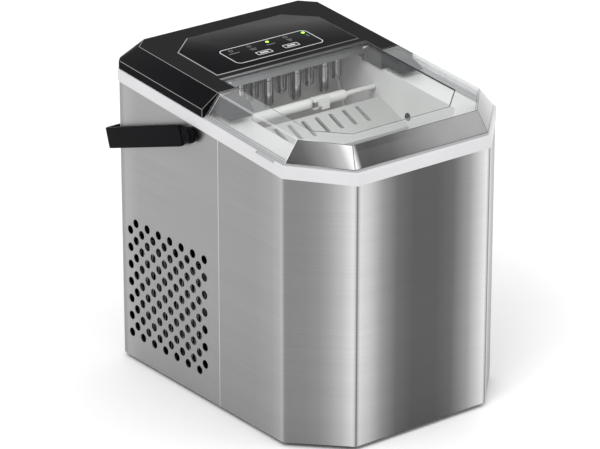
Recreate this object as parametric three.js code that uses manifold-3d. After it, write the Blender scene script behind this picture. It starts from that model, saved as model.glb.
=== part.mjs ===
// Countertop bullet-ice maker: a steel-wrapped body with a sloping top, a clear front lid,
// a black control cover, a carrying handle and the cooling and ice-making parts inside.
// Millimetres, +Z up, the front faces -Y. Heights marked "above the deck" are measured straight
// up from the sloping plane on which the top rim ends.
import * as THREE from "three";
import { mergeVertices, mergeGeometries } from "three/addons/utils/BufferGeometryUtils.js";
import { ConvexGeometry } from "three/addons/geometries/ConvexGeometry.js";
import Module from "manifold-3d";

const wasm = await Module();
wasm.setup();

// ---- Gaps between neighbours ----
const TOUCH = 0.3; // pieces that rest on or against each other
const RUNNING = 0.6; // pieces that move past each other
const PAST = 1; // a cut or a join reaches this far past the face it meets
const OVER = 5; // a cut reaches this far over a top face

// ---- Body ----
const BODY_WIDTH = 224;
const BODY_DEPTH = 276;
const CHAMFER_ALONG_X = 42.6;
const CHAMFER_ALONG_Y = 43.4;
const REAR_CORNER_RADIUS = 10;
const FRONT_BEND_RADIUS = 3;
const SHEET = 1; // steel sheet of the two shells
const FOOT_HEIGHT = 4;
const FOOT_RADIUS = 9;
const FOOT_INSET = 26;
const SEAM_Y = -7.7; // where the front shell meets the rear shell
const SEAM_GAP = 0.5;
const DECK_HEIGHT = 256; // top of the rim above the floor, at the middle of the depth
const DECK_SLOPE = 0.0745; // rise of the deck per millimetre towards the rear
const BASE_FLOOR = 3;
const BASE_WALL = 2.5;
const BASE_WALL_HEIGHT = 16;

// ---- Top rim, control cover and lid (heights above the deck) ----
const RIM_HEIGHT = 10.6;
const RIM_OVERHANG = 0.7;
const RIM_WIDTH = 10;
const NOTCH_LENGTH = 24;
const NOTCH_DEPTH = 1.6;
const NOTCH_MIDDLE_Y = -72;
const TOP_HEIGHT = 18.5; // flat top of the cover and of the lid
const TOP_SIDE_INSET = 16.8; // flat top's side edge, from the body's side
const COVER_BAND = 7.5; // upright band round the foot of the cover
const COVER_WALL = 2.5;
const COVER_FRONT_Y = 36;
const ARM_FRONT_Y = 14.2;
const ARM_WIDTH = 18; // flat top of each arm beside the lid
const COVER_CORNER_X = 13;
const COVER_CORNER_Y = 11.5;
const LID_WALL = 2.2;
const LID_REAR_Y = 12.8;
const LID_TOP_FRONT_INSET = 12.4;
const LID_CORNER_X = 30; // cut off each front corner of the flat top
const LID_CORNER_Y = 33;
const LID_FOOT_SIDE_INSET = 2.4;
const LID_FOOT_FRONT_INSET = 3.4;
const LID_FOOT_HEIGHT = 1.5;
const LID_HINGE_Y = 30.5;
const LID_HINGE_BELOW_TOP = 3.3;
const LID_HINGE_HEIGHT = TOP_HEIGHT - LID_HINGE_BELOW_TOP;
const LID_LUG_RADIUS = 3.2;
const LID_LUG_LENGTH = 7;
const LID_PIN_RADIUS = 1.3;
const LID_PIN_GRIP = 5; // length of pin held in the arm
const LID_TONGUE_CLEARANCE = 0.9;
const BLOCK_LENGTH = 26;
const BLOCK_WIDTH = 15;
const BLOCK_INSET = 1; // from the arm's inner side
const BLOCK_FOOT = 0.6;

// ---- Control panel ----
const PANEL_THICKNESS = 1.8;
const PANEL_POCKET = 1.4;
const PANEL_HALF_WIDTH = 75.5;
const PANEL_FRONT_Y = 42;
const PANEL_LENGTH = 77.5;
const PANEL_CORNER_X = 25;
const PANEL_CORNER_Y = 21;
const LED_ROW_Y = 77;
const LED_MIDDLE_X = 3;
const LED_PITCH = 19.2;
const LED_COUNT = 5;
const LED_RADIUS = 2;
const BUTTON_ROW_Y = 60;
const BUTTON_MIDDLE_X = 1.5;
const BUTTON_OFFSET = 14.2; // each button, from the middle of the two
const BUTTON_WIDTH = 16.5;
const BUTTON_DEPTH = 7.2;
const BUTTON_LENGTH = 4.4;
const BUTTON_PROUD = 0.3;
const BUTTON_TRAVEL_ROOM = 1.2;
const BOARD_THICKNESS = 1.6;
const BOARD_WIDTH = 110;
const BOARD_DEPTH = 36;

// ---- Side vents ----
const VENT_COLUMNS = 14;
const VENT_HOLES = 7;
const VENT_COLUMN_PITCH = 8.2;
const VENT_HOLE_PITCH = 16;
const VENT_STAGGER = 8;
const VENT_RADIUS = 3.6;
const VENT_SIDES = 6;
const VENT_REAR_INSET = 18.5; // first column, from the rear of the body
const VENT_BOTTOM = 27.4; // lowest hole above the floor

// ---- Water tank and ice chamber ----
const TANK_SIDE_GAP = 30; // tank wall's outside, from the body's side
const TANK_WALL = 2.5;
const TANK_FRONT_INSET = 31;
const TANK_REAR_Y = 110.5;
const TANK_STEP_Y = 4; // the deep front part ends here
const TANK_FRONT_FLOOR = 62;
const TANK_REAR_FLOOR = 158;
const TANK_CORNER = 24;
const TANK_FLANGE = 2.6;
const LEDGE_WIDTH = 5;
const LEDGE_HEIGHT = 6;

// ---- Ice basket and ramp ----
const BASKET_FLOOR = 134;
const BASKET_HEIGHT = 66;
const BASKET_WALL = 2;
const BASKET_SIDE_CLEARANCE = 3;
const BASKET_REAR_Y = -30;
const BASKET_FRONT_CLEARANCE = 4;
const BASKET_SLOTS = 7;
const BASKET_SLOT_WIDTH = 4;
const BASKET_SLOT_PITCH = 16;
const RAMP_THICKNESS = 3;
const RAMP_LENGTH = 42;
const RAMP_PITCH = 0.38; // radians below level
const RAMP_REAR_Y = 18.5;
const RAMP_DROP = 26; // top rear edge below the deck
const RAMP_SLOTS = 8;
const RAMP_SLOT_PITCH = 14.5;
const RAMP_SLOT_WIDTH = 4;
const RAMP_SLOT_LENGTH = 20;

// ---- Evaporator, tray and shovel ----
const EVAPORATOR_X = 9;
const FINGER_PITCH = 29.5;
const FINGER_REAR_Y = 66;
const FINGER_ROW_GAP = 20;
const FINGER_RADIUS = 5.5;
const FINGER_LENGTH = 28;
const FINGER_TOP_OVER_DECK = 8; // fingers' upper ends, over the deck's middle
const FINGER_TIP_HEIGHT = DECK_HEIGHT + FINGER_TOP_OVER_DECK - FINGER_LENGTH;
const FINGERS_REAR = 5;
const FINGERS_FRONT = 4;
const TUBE_RADIUS = 4;
const TRAY_WALL = 2.4;
const TRAY_DEPTH = 26;
const TRAY_TIP_CLEARANCE = 6; // between the fingers' tips and the raised tray's floor
const TRAY_FRONT_CLEARANCE = 4.5; // between the front fingers and the raised tray's wall
const TRAY_REAR_CLEARANCE = 2.6;
const TRAY_SIDE_CLEARANCE = 2;
const TRAY_PIVOT_RADIUS = 3;
const TRAY_PIVOT_PROUD = 1; // outside the tank's wall
const TRAY_PIVOT_BEHIND = 7; // pivot's distance behind the tray's rear wall
const TRAY_PIVOT_DROP = 4; // pivot's distance below the tray's lip
const TRAY_EAR_RADIUS = 6;
const TRAY_LOWERED = 1.2; // radians; the tray hangs this far down after a harvest
const SHOVEL_Y = 26;
const SHOVEL_RADIUS = 4.5;
const SHOVEL_DROP = 19.5; // axis below the deck
const SHOVEL_LEFT_X = -54;
const SHOVEL_RIGHT_X = 48;
const SHOVEL_BRACKET_X = 9;
const SHOVEL_BRACKET_WIDTH = 17;
const SHOVEL_HOOK = 2; // the bracket's lip ahead of the bar
const SHOVEL_TOE = 1.5;
const TRAY_MOTOR_RADIUS = 9;
const TRAY_MOTOR_ROOM = 16; // left between the motor's end and the steel
const TRAY_MOTOR_LENGTH = TANK_SIDE_GAP - TRAY_MOTOR_ROOM;
const SENSOR_RADIUS = 3.4;
const SENSOR_PROUD = 1;
const SENSOR_TAIL = 6;
const SENSOR_Y = -19;
const SENSOR_DROP = 31;

// ---- Cooling parts ----
const COMPRESSOR_RADIUS = 43;
const COMPRESSOR_HEIGHT = 112;
const COMPRESSOR_FOOT_ROUND = 9;
const COMPRESSOR_DOME = 26;
const COMPRESSOR_PLATE = 78;
const COMPRESSOR_X = 36;
const COMPRESSOR_Y = 72;
const CONDENSER_DEPTH = 18;
const CONDENSER_LENGTH = 92;
const CONDENSER_HEIGHT = 104;
const CONDENSER_SIDE_GAP = 6;
const CONDENSER_FINS = 22;
const CONDENSER_FIN = 1.2;
const CONDENSER_SPINE = 4;
const FAN_SIZE = 92;
const FAN_DEPTH = 16;
const FAN_BORE_RADIUS = 42.5;
const FAN_BLADE_RADIUS = 40;
const FAN_BLADES = 7;
const FAN_BLADE_WIDTH = 16;
const FAN_BLADE_THICKNESS = 1.4;
const FAN_BLADE_TWIST = 0.5; // radians
const FAN_WHEEL_INSET = 0.8; // behind the frame's open side
const FAN_WHEEL_DEPTH = 11;
const FAN_BAR_WIDTH = 10;
const FAN_BAR_DEPTH = 3;
const FAN_HUB_RADIUS = 15;
const FAN_MOTOR_RADIUS = 13;
const FAN_MOTOR_LENGTH = 12;
const FAN_SHAFT_RADIUS = 2;
const LINE_RADIUS = 3; // refrigerant and water lines
const LINE_BEHIND_FINGERS = 26;
const LINE_OUTSIDE_TANK = 9;
const LINE_HOLE_GAP = 2;
const COPPER_LINE_RADIUS = 2.4;
// The lines' bends, as steps [x, y, z] from the place each stretch starts at.
const SUCTION_FROM_EVAPORATOR = [[0, 1, 0], [-10, 8, 0]];
const SUCTION_THROUGH_DECK = [[3, -4, -1], [0, 0, -8], [0, 0, -26]];
const SUCTION_BEHIND_TANK = [[2, 0, -60], [40, 0, -95]];
const SUCTION_TO_COMPRESSOR = [[-10, 48, 20], [-6, 14, 5]];
const DISCHARGE_FROM_CONDENSER = [[-6, -6, 0], [6, -2, 10], [60, -4, 28]];
const DISCHARGE_TO_COMPRESSOR = [[-14, 12, 8], [-12, 6, 2]];
const HOSE_OUTSIDE_TANK = 10;
const HOSE_FROM_PUMP = [[0, 0, 0], [-8, 0, 0]];
const HOSE_UP = [[0, 6, 20], [0, 30, 68]];
const HOSE_TO_TRAY = [[0, 0, 0], [0, 22, 40], [4, 30, 58]];
const COOLING_LIFT = 8; // the feet of the cooling parts above the base floor
const PUMP_RADIUS = 15;
const PUMP_HEIGHT = 30;
const PUMP_SPOUT = 8;
const PUMP_X = -48;
const PUMP_Y = -70;
const POWER_BOARD_X = 34;
const POWER_BOARD_Y = -72;
const POWER_BOARD_WIDTH = 84;
const POWER_BOARD_DEPTH = 62;
const POWER_POST_INSET = 4;
const POWER_POST_RADIUS = 3;
// Transformer, relay and terminal block: x, y from the board's corner, width, depth and height.
const POWER_PARTS = [[6, 8, 24, 22, 20], [38, 8, 14, 18, 15], [8, 40, 26, 12, 10]];
const DRAIN_RADIUS = 7;
const DRAIN_BORE = 4.5;
const DRAIN_Y = -60;
const DRAIN_HEIGHT = 72;
const DRAIN_HEAD_RADIUS = 9.5;
const DRAIN_HEAD = 5;
const DRAIN_PLUG_DEPTH = 14;
const INLET_X = 62;
const INLET_HEIGHT = 34;
const INLET_WIDTH = 25;
const INLET_TALL = 20;
const INLET_DEPTH = 16;
const INLET_FLANGE = 2;
const INLET_RIM = 4; // flange beyond the opening in the steel
const INLET_PIN_PITCH = 6;
const INLET_PIN_WIDTH = 2;
const INLET_PIN_TALL = 6;
const INLET_PIN_INSET = 3;

// ---- Carrying handle ----
const HANDLE_PIVOT_Y = 26.5;
const HANDLE_PIVOT_HEIGHT = 239.3;
const HANDLE_REACH = 127; // from the pivot to the outside of the cross bar
const HANDLE_STRAP = 18;
const HANDLE_THICKNESS = 4.6;
const HANDLE_SIDE_GAP = 1.6; // between the body's side and the strap
const HANDLE_FOLD = 0.314; // radians below level when it is folded back
const HANDLE_CORNER = 7;
const HANDLE_EYE_RADIUS = 7;
const HANDLE_PIN_RADIUS = 3.4;
const HANDLE_PIN_HEAD = 5.4;
const HANDLE_PIN_HEAD_DEPTH = 1.7;
const HANDLE_NECK = 2; // between the eye and the end of the strap

// ---- Worked out from the sizes above ----
const SIDE = BODY_WIDTH / 2;
const FRONT = -BODY_DEPTH / 2;
const REAR = BODY_DEPTH / 2;
const TANK_HALF = SIDE - TANK_SIDE_GAP;
const TANK_INNER = TANK_HALF - TANK_WALL;
const TANK_FRONT = FRONT + TANK_FRONT_INSET;
const TOP_SIDE = SIDE - TOP_SIDE_INSET;
const ARM_INNER = TOP_SIDE - ARM_WIDTH;
const BASE_TOP = FOOT_HEIGHT + BASE_FLOOR;
const COOLING_BASE = BASE_TOP + COOLING_LIFT;

// Height of the deck above the floor at a depth y.
const deck = (y) => DECK_HEIGHT + DECK_SLOPE * y;

// ---- Finishes ----
const finish = (color, roughness, metalness = 0) =>
  new THREE.MeshStandardMaterial({ color, roughness, metalness });
const STEEL = finish(0xa9abad, 0.35, 1);
const SILVER = finish(0xdcdddf, 0.4, 0.2);
const BLACK_GLOSS = finish(0x1b1b1d, 0.15);
const BLACK_MATTE = finish(0x232326, 0.6);
const DARK_GREY = finish(0x44464c, 0.5);
const WHITE_PLASTIC = finish(0xe9eae8, 0.45);
const RUBBER = finish(0x17171a, 0.9);
const COPPER = finish(0xb87350, 0.35, 1);
const CHROME = finish(0xd8dadd, 0.12, 1);
const ALUMINIUM = finish(0xbfc2c5, 0.4, 1);
const GREEN_BOARD = finish(0x1f5a35, 0.6);
const CLEAR = new THREE.MeshStandardMaterial({
  color: 0xe6ebee,
  roughness: 0.08,
  transparent: true,
  opacity: 0.35,
});
const LIGHT = finish(0x9ad24a, 0.4);

// ---- Solids ----
// A closed geometry, moved by a matrix, as a solid that can be joined and cut.
function solid(geometry, matrix = new THREE.Matrix4()) {
  const bare = geometry.clone();
  bare.deleteAttribute("normal");
  bare.deleteAttribute("uv");
  bare.applyMatrix4(matrix);
  const merged = mergeVertices(bare, 1e-4);
  return new wasm.Manifold(
    new wasm.Mesh({
      numProp: 3,
      vertProperties: merged.attributes.position.array,
      triVerts: new Uint32Array(merged.index.array),
    }),
  );
}

// A named mesh made from a solid.
function piece(name, material, body) {
  const made = body.getMesh();
  const geometry = new THREE.BufferGeometry();
  geometry.setAttribute("position", new THREE.BufferAttribute(made.vertProperties, 3));
  geometry.setIndex(new THREE.BufferAttribute(made.triVerts, 1));
  geometry.computeVertexNormals();
  const mesh = new THREE.Mesh(geometry, material);
  mesh.name = name;
  return mesh;
}

// Two distances from the middle, turned into low and high X on one side.
const span = (side, near, far) => [side * near, side * far].sort((a, b) => a - b);

const at = (x, y, z) => new THREE.Matrix4().makeTranslation(x, y, z);

// A box given by its lowest and highest corners.
function box(x0, y0, z0, x1, y1, z1) {
  const geometry = new THREE.BoxGeometry(x1 - x0, y1 - y0, z1 - z0);
  return solid(geometry, at((x0 + x1) / 2, (y0 + y1) / 2, (z0 + z1) / 2));
}

// A cylinder along X, Y or Z between two places on that axis; the other two give its centre.
function rod(axis, from, to, a, b, radius, sides = 20) {
  const geometry = new THREE.CylinderGeometry(radius, radius, to - from, sides);
  const middle = (from + to) / 2;
  if (axis === "x") return solid(geometry.rotateZ(-Math.PI / 2), at(middle, a, b));
  if (axis === "y") return solid(geometry, at(a, middle, b));
  return solid(geometry.rotateX(Math.PI / 2), at(a, b, middle));
}

// A tube's solid along a smooth curve through the given points.
function line(points, radius, steps, sides = 8) {
  const curve = new THREE.CatmullRomCurve3(points.map((p) => new THREE.Vector3(...p)));
  const section = new THREE.Shape();
  section.absarc(0, 0, radius, 0, Math.PI * 2);
  const options = { steps, extrudePath: curve, bevelEnabled: false, curveSegments: sides };
  return solid(new THREE.ExtrudeGeometry(section, options));
}

// A convex outline moved inwards by a distance (outwards when it is negative).
function inset(outline, distance) {
  const count = outline.length;
  const edges = outline.map((p, i) => {
    const q = outline[(i + 1) % count];
    const along = q.clone().sub(p).normalize();
    const inward = new THREE.Vector2(-along.y, along.x);
    return { point: p.clone().addScaledVector(inward, distance), along };
  });
  return edges.map((edge, i) => {
    const before = edges[(i + count - 1) % count];
    const turn = before.along.cross(edge.along);
    const gap = edge.point.clone().sub(before.point);
    return before.point.clone().addScaledVector(before.along, gap.cross(edge.along) / turn);
  });
}

// An outline with each corner rounded by its own radius.
function rounded(outline, radii, steps = 3) {
  return outline.flatMap((corner, i) => {
    const count = outline.length;
    const toBefore = outline[(i + count - 1) % count].clone().sub(corner).normalize();
    const toAfter = outline[(i + 1) % count].clone().sub(corner).normalize();
    const half = toBefore.angleTo(toAfter) / 2;
    const radius = Math.max(radii[i], 0.1);
    const bisector = toBefore.clone().add(toAfter).normalize();
    const centre = corner.clone().addScaledVector(bisector, radius / Math.sin(half));
    const start = corner.clone().addScaledVector(toBefore, radius / Math.tan(half)).sub(centre);
    const sweep = Math.PI - 2 * half;
    return Array.from({ length: steps + 1 }, (_, k) =>
      start.clone().rotateAround(new THREE.Vector2(), (sweep * k) / steps).add(centre),
    );
  });
}

// The body's plan, anticlockwise from the front left bend, moved inwards by a distance.
function bodyPlan(distance) {
  const sharp = [
    [-SIDE + CHAMFER_ALONG_X, FRONT],
    [SIDE - CHAMFER_ALONG_X, FRONT],
    [SIDE, FRONT + CHAMFER_ALONG_Y],
    [SIDE, REAR],
    [-SIDE, REAR],
    [-SIDE, FRONT + CHAMFER_ALONG_Y],
  ].map(([x, y]) => new THREE.Vector2(x, y));
  const bend = FRONT_BEND_RADIUS - distance;
  const corner = REAR_CORNER_RADIUS - distance;
  return rounded(inset(sharp, distance), [bend, bend, bend, corner, corner, bend]);
}

// A plan raised from z0 to z1; a second plan, if given, is left open through it.
function prism(plan, z0, z1, hole) {
  const shape = new THREE.Shape(plan);
  if (hole) shape.holes.push(new THREE.Path(hole));
  const geometry = new THREE.ExtrudeGeometry(shape, { depth: z1 - z0, bevelEnabled: false });
  return geometry.translate(0, 0, z0);
}

// Leans a geometry whose heights are given above the deck onto the sloping deck.
function onDeck(geometry) {
  const lean = new THREE.Matrix4().set(
    1, 0, 0, 0,
    0, 1, 0, 0,
    0, DECK_SLOPE, 1, DECK_HEIGHT,
    0, 0, 0, 1,
  );
  return solid(geometry, lean);
}

// A box on the sloping deck, its heights above the deck.
function deckBox(x0, y0, h0, x1, y1, h1) {
  const geometry = new THREE.BoxGeometry(x1 - x0, y1 - y0, h1 - h0);
  return onDeck(geometry.translate((x0 + x1) / 2, (y0 + y1) / 2, (h0 + h1) / 2));
}

const plan = (pairs) => pairs.map(([x, y]) => new THREE.Vector2(x, y));
const level = (outline, h) => outline.map((p) => new THREE.Vector3(p.x, p.y, h));

// Everything above a height over the deck, wide enough to cut any piece.
const above = (h) => onDeck(prism(bodyPlan(-40), h, h + DECK_HEIGHT * 2));

// ---- Housing ----
function basePan() {
  const skin = SHEET + TOUCH;
  const outer = solid(prism(bodyPlan(skin), FOOT_HEIGHT, BASE_TOP + BASE_WALL_HEIGHT));
  const hollow = solid(prism(bodyPlan(skin + BASE_WALL), BASE_TOP, BASE_TOP + BASE_WALL_HEIGHT + PAST));
  return piece("base_pan", BLACK_MATTE, outer.subtract(hollow));
}

function feet() {
  const x = SIDE - FOOT_INSET;
  const rear = REAR - FOOT_INSET;
  const front = FRONT + CHAMFER_ALONG_Y;
  const places = {
    foot_rear_left: [-x, rear],
    foot_rear_right: [x, rear],
    foot_front_left: [-x, front],
    foot_front_right: [x, front],
  };
  return Object.entries(places).map(([name, [px, py]]) =>
    piece(name, RUBBER, rod("z", 0, FOOT_HEIGHT - TOUCH, px, py, FOOT_RADIUS)),
  );
}

// The steel wrap, open at the top where the rim rests on it.
function steelWrap() {
  const wall = solid(prism(bodyPlan(0), FOOT_HEIGHT, DECK_HEIGHT * 2, bodyPlan(SHEET)));
  return wall.subtract(above(-RIM_HEIGHT - TOUCH));
}

function frontShell(wrap) {
  const half = box(-BODY_WIDTH, SEAM_Y - SEAM_GAP / 2, 0, BODY_WIDTH, BODY_DEPTH, DECK_HEIGHT * 2);
  return piece("front_shell", STEEL, wrap.subtract(half).subtract(drainHole()));
}

function drainHole() {
  return rod("x", 0, BODY_WIDTH, DRAIN_Y, DRAIN_HEIGHT, DRAIN_RADIUS + TOUCH);
}

// Staggered columns of round vents, cut through both sides at once.
function ventCutters() {
  const holes = [];
  for (let column = 0; column < VENT_COLUMNS; column++) {
    const y = REAR - VENT_REAR_INSET - column * VENT_COLUMN_PITCH;
    const lift = VENT_BOTTOM + (column % 2) * VENT_STAGGER;
    for (let hole = 0; hole < VENT_HOLES; hole++) {
      const cutter = new THREE.CylinderGeometry(VENT_RADIUS, VENT_RADIUS, BODY_WIDTH + OVER, VENT_SIDES);
      cutter.rotateZ(Math.PI / 2).translate(0, y, lift + hole * VENT_HOLE_PITCH);
      holes.push(cutter);
    }
  }
  return solid(mergeGeometries(holes));
}

function rearShell(wrap) {
  const half = box(-BODY_WIDTH, -BODY_DEPTH, 0, BODY_WIDTH, SEAM_Y + SEAM_GAP / 2, DECK_HEIGHT * 2);
  const inlet = box(
    INLET_X - INLET_WIDTH / 2 - TOUCH,
    0,
    INLET_HEIGHT - INLET_TALL / 2 - TOUCH,
    INLET_X + INLET_WIDTH / 2 + TOUCH,
    BODY_DEPTH,
    INLET_HEIGHT + INLET_TALL / 2 + TOUCH,
  );
  return piece("rear_shell", STEEL, wrap.subtract(half).subtract(ventCutters()).subtract(inlet));
}

function topRim() {
  const ring = onDeck(prism(bodyPlan(-RIM_OVERHANG), -RIM_HEIGHT, 0, bodyPlan(RIM_WIDTH)));
  const y0 = NOTCH_MIDDLE_Y - NOTCH_LENGTH / 2;
  const notches = [-1, 1].map((side) => {
    const edge = side * SIDE;
    const x0 = Math.min(edge - side * NOTCH_DEPTH, edge + side * OVER);
    const x1 = Math.max(edge - side * NOTCH_DEPTH, edge + side * OVER);
    return deckBox(x0, y0, -NOTCH_DEPTH, x1, y0 + NOTCH_LENGTH, OVER);
  });
  return piece("top_rim", SILVER, notches.reduce((rim, cut) => rim.subtract(cut), ring));
}

// ---- Control cover ----
// The cover's outside grown or shrunk by a wall: an upright band, sloping sides and a flat top.
function coverHull(wall) {
  const inner = SIDE - TOUCH - wall;
  const rear = REAR - TOUCH - wall;
  const top = TOP_SIDE - wall / 2;
  const topRear = rear - wall / 4;
  const front = wall ? COVER_FRONT_Y + wall : ARM_FRONT_Y;
  const foot = rounded(
    plan([[-inner, front], [inner, front], [inner, rear], [-inner, rear]]),
    [0, 0, REAR_CORNER_RADIUS - wall, REAR_CORNER_RADIUS - wall],
    2,
  );
  const crown = plan([
    [-top, front],
    [top, front],
    [top, topRear - COVER_CORNER_Y],
    [top - COVER_CORNER_X, topRear],
    [-top + COVER_CORNER_X, topRear],
    [-top, topRear - COVER_CORNER_Y],
  ]);
  const bottom = wall ? -PAST : TOUCH;
  const points = [
    ...level(foot, bottom),
    ...level(foot, COVER_BAND - wall / 2),
    ...level(crown, TOP_HEIGHT - wall),
  ];
  return onDeck(new ConvexGeometry(points));
}

function panelPlan(gap) {
  const x = PANEL_HALF_WIDTH + gap;
  const y0 = PANEL_FRONT_Y - gap;
  const y1 = PANEL_FRONT_Y + PANEL_LENGTH + gap;
  return plan([
    [-x, y0],
    [x, y0],
    [x, y1 - PANEL_CORNER_Y],
    [x - PANEL_CORNER_X, y1],
    [-x + PANEL_CORNER_X, y1],
    [-x, y1 - PANEL_CORNER_Y],
  ]);
}

// The two button openings, from a height over the deck upwards.
function buttonOpenings(h0) {
  const [left, right] = [-1, 1].map((side) => {
    const x = BUTTON_MIDDLE_X + side * BUTTON_OFFSET;
    const w = BUTTON_WIDTH / 2 + TOUCH;
    const d = BUTTON_DEPTH / 2 + TOUCH;
    return deckBox(x - w, BUTTON_ROW_Y - d, h0, x + w, BUTTON_ROW_Y + d, TOP_HEIGHT + OVER);
  });
  return left.add(right);
}

// A lid pin's bore or the pin itself, on one side, in the arm.
function lidPin(side, radius, from, to) {
  const z = deck(LID_HINGE_Y) + LID_HINGE_HEIGHT;
  const ends = span(side, from, to);
  return rod("x", ends[0], ends[1], LID_HINGE_Y, z, radius, 12);
}

function controlCover() {
  const cut = TOP_HEIGHT + OVER;
  const notch = deckBox(-ARM_INNER, 0, -OVER, ARM_INNER, COVER_FRONT_Y, cut);
  const pocket = onDeck(prism(panelPlan(TOUCH), TOP_HEIGHT - PANEL_POCKET, cut));
  let cover = coverHull(0).subtract(coverHull(COVER_WALL)).subtract(notch).subtract(pocket);
  cover = cover.subtract(buttonOpenings(0));
  for (const side of [-1, 1]) {
    const end = ARM_INNER + LID_PIN_GRIP + TOUCH;
    cover = cover.subtract(lidPin(side, LID_PIN_RADIUS + TOUCH, ARM_INNER - PAST, end));
  }
  return piece("control_cover", BLACK_GLOSS, cover);
}

function ledPlace(index) {
  return LED_MIDDLE_X + (index - (LED_COUNT - 1) / 2) * LED_PITCH;
}

// A short upright round on the deck.
function deckRod(x, y, h0, h1, radius) {
  const geometry = new THREE.CylinderGeometry(radius, radius, h1 - h0, 10);
  return onDeck(geometry.rotateX(Math.PI / 2).translate(x, y, (h0 + h1) / 2));
}

function controlPanel() {
  const foot = TOP_HEIGHT - PANEL_POCKET + TOUCH;
  let panel = onDeck(prism(panelPlan(0), foot, foot + PANEL_THICKNESS));
  panel = panel.subtract(buttonOpenings(foot - PAST));
  for (let i = 0; i < LED_COUNT; i++) {
    const hole = deckRod(ledPlace(i), LED_ROW_Y, foot - PAST, TOP_HEIGHT + OVER, LED_RADIUS + TOUCH);
    panel = panel.subtract(hole);
  }
  return piece("control_panel", BLACK_GLOSS, panel);
}

function ledWindows() {
  const foot = TOP_HEIGHT - PANEL_POCKET + TOUCH;
  return Array.from({ length: LED_COUNT }, (_, i) => {
    const light = deckRod(ledPlace(i), LED_ROW_Y, foot, foot + PANEL_THICKNESS, LED_RADIUS);
    return piece(`led_window_${i + 1}`, LIGHT, light);
  });
}

function button(name, side) {
  const top = TOP_HEIGHT - PANEL_POCKET + TOUCH + PANEL_THICKNESS + BUTTON_PROUD;
  const x = BUTTON_MIDDLE_X + side * BUTTON_OFFSET;
  const w = BUTTON_WIDTH / 2;
  const d = BUTTON_DEPTH / 2;
  const key = deckBox(x - w, BUTTON_ROW_Y - d, top - BUTTON_LENGTH, x + w, BUTTON_ROW_Y + d, top);
  return piece(name, DARK_GREY, key);
}

function controlBoard() {
  const top = TOP_HEIGHT - PANEL_POCKET + TOUCH + PANEL_THICKNESS - BUTTON_LENGTH - BUTTON_TRAVEL_ROOM;
  const middle = (LED_ROW_Y + BUTTON_ROW_Y) / 2;
  const board = deckBox(
    -BOARD_WIDTH / 2,
    middle - BOARD_DEPTH / 2,
    top - BOARD_THICKNESS,
    BOARD_WIDTH / 2,
    middle + BOARD_DEPTH / 2,
    top,
  );
  return piece("control_board", GREEN_BOARD, board);
}

function hingeBlocks() {
  return [-1, 1].map((side) => {
    const inner = ARM_INNER + BLOCK_INSET;
    const ends = span(side, inner, inner + BLOCK_WIDTH);
    const rear = ARM_FRONT_Y - TOUCH;
    const top = TOP_HEIGHT - LID_WALL - LID_TONGUE_CLEARANCE;
    const body = deckBox(ends[0], rear - BLOCK_LENGTH, BLOCK_FOOT, ends[1], rear, top);
    return piece(side < 0 ? "hinge_block_left" : "hinge_block_right", DARK_GREY, body);
  });
}

function lidPins() {
  return [-1, 1].map((side) => {
    const from = ARM_INNER - RUNNING - LID_LUG_LENGTH;
    const pin = lidPin(side, LID_PIN_RADIUS, from, ARM_INNER + LID_PIN_GRIP);
    return piece(side < 0 ? "lid_pin_left" : "lid_pin_right", ALUMINIUM, pin);
  });
}

// ---- Lid ----
// The lid's outside, or its hollow when a wall is given.
function lidHull(wall) {
  const side = SIDE - LID_FOOT_SIDE_INSET - wall;
  const front = FRONT + LID_FOOT_FRONT_INSET + wall;
  const corner = FRONT + CHAMFER_ALONG_Y;
  const rear = wall ? LID_REAR_Y + PAST : LID_REAR_Y;
  const top = TOP_SIDE - wall / 2;
  const topFront = FRONT + LID_TOP_FRONT_INSET + wall / 2;
  const reach = side - (SIDE - CHAMFER_ALONG_X);
  const topCorner = TOP_SIDE - LID_CORNER_X;
  const foot = plan([
    [-side + reach, front],
    [side - reach, front],
    [side, corner],
    [side, rear],
    [-side, rear],
    [-side, corner],
  ]);
  const crown = plan([
    [-topCorner, topFront],
    [topCorner, topFront],
    [top, topFront + LID_CORNER_Y],
    [top, rear],
    [-top, rear],
    [-top, topFront + LID_CORNER_Y],
  ]);
  const bottom = wall ? LID_FOOT_HEIGHT - PAST : LID_FOOT_HEIGHT;
  return onDeck(new ConvexGeometry([...level(foot, bottom), ...level(crown, TOP_HEIGHT - wall)]));
}

function lid() {
  const tongueHalf = ARM_INNER - RUNNING;
  const z = deck(LID_HINGE_Y) + LID_HINGE_HEIGHT;
  const rear = LID_HINGE_Y + LID_LUG_RADIUS;
  let body = lidHull(0).subtract(lidHull(LID_WALL));
  const under = TOP_HEIGHT - LID_WALL;
  body = body.add(deckBox(-tongueHalf, LID_REAR_Y - PAST, under, tongueHalf, rear, TOP_HEIGHT));
  for (const side of [-1, 1]) {
    const lug = tongueHalf - LID_LUG_LENGTH;
    const ends = span(side, tongueHalf, lug);
    body = body.add(rod("x", ends[0], ends[1], LID_HINGE_Y, z, LID_LUG_RADIUS, 16));
    body = body.subtract(lidPin(side, LID_PIN_RADIUS + TOUCH, lug - PAST, tongueHalf + PAST));
  }
  return piece("lid", CLEAR, body);
}

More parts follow.
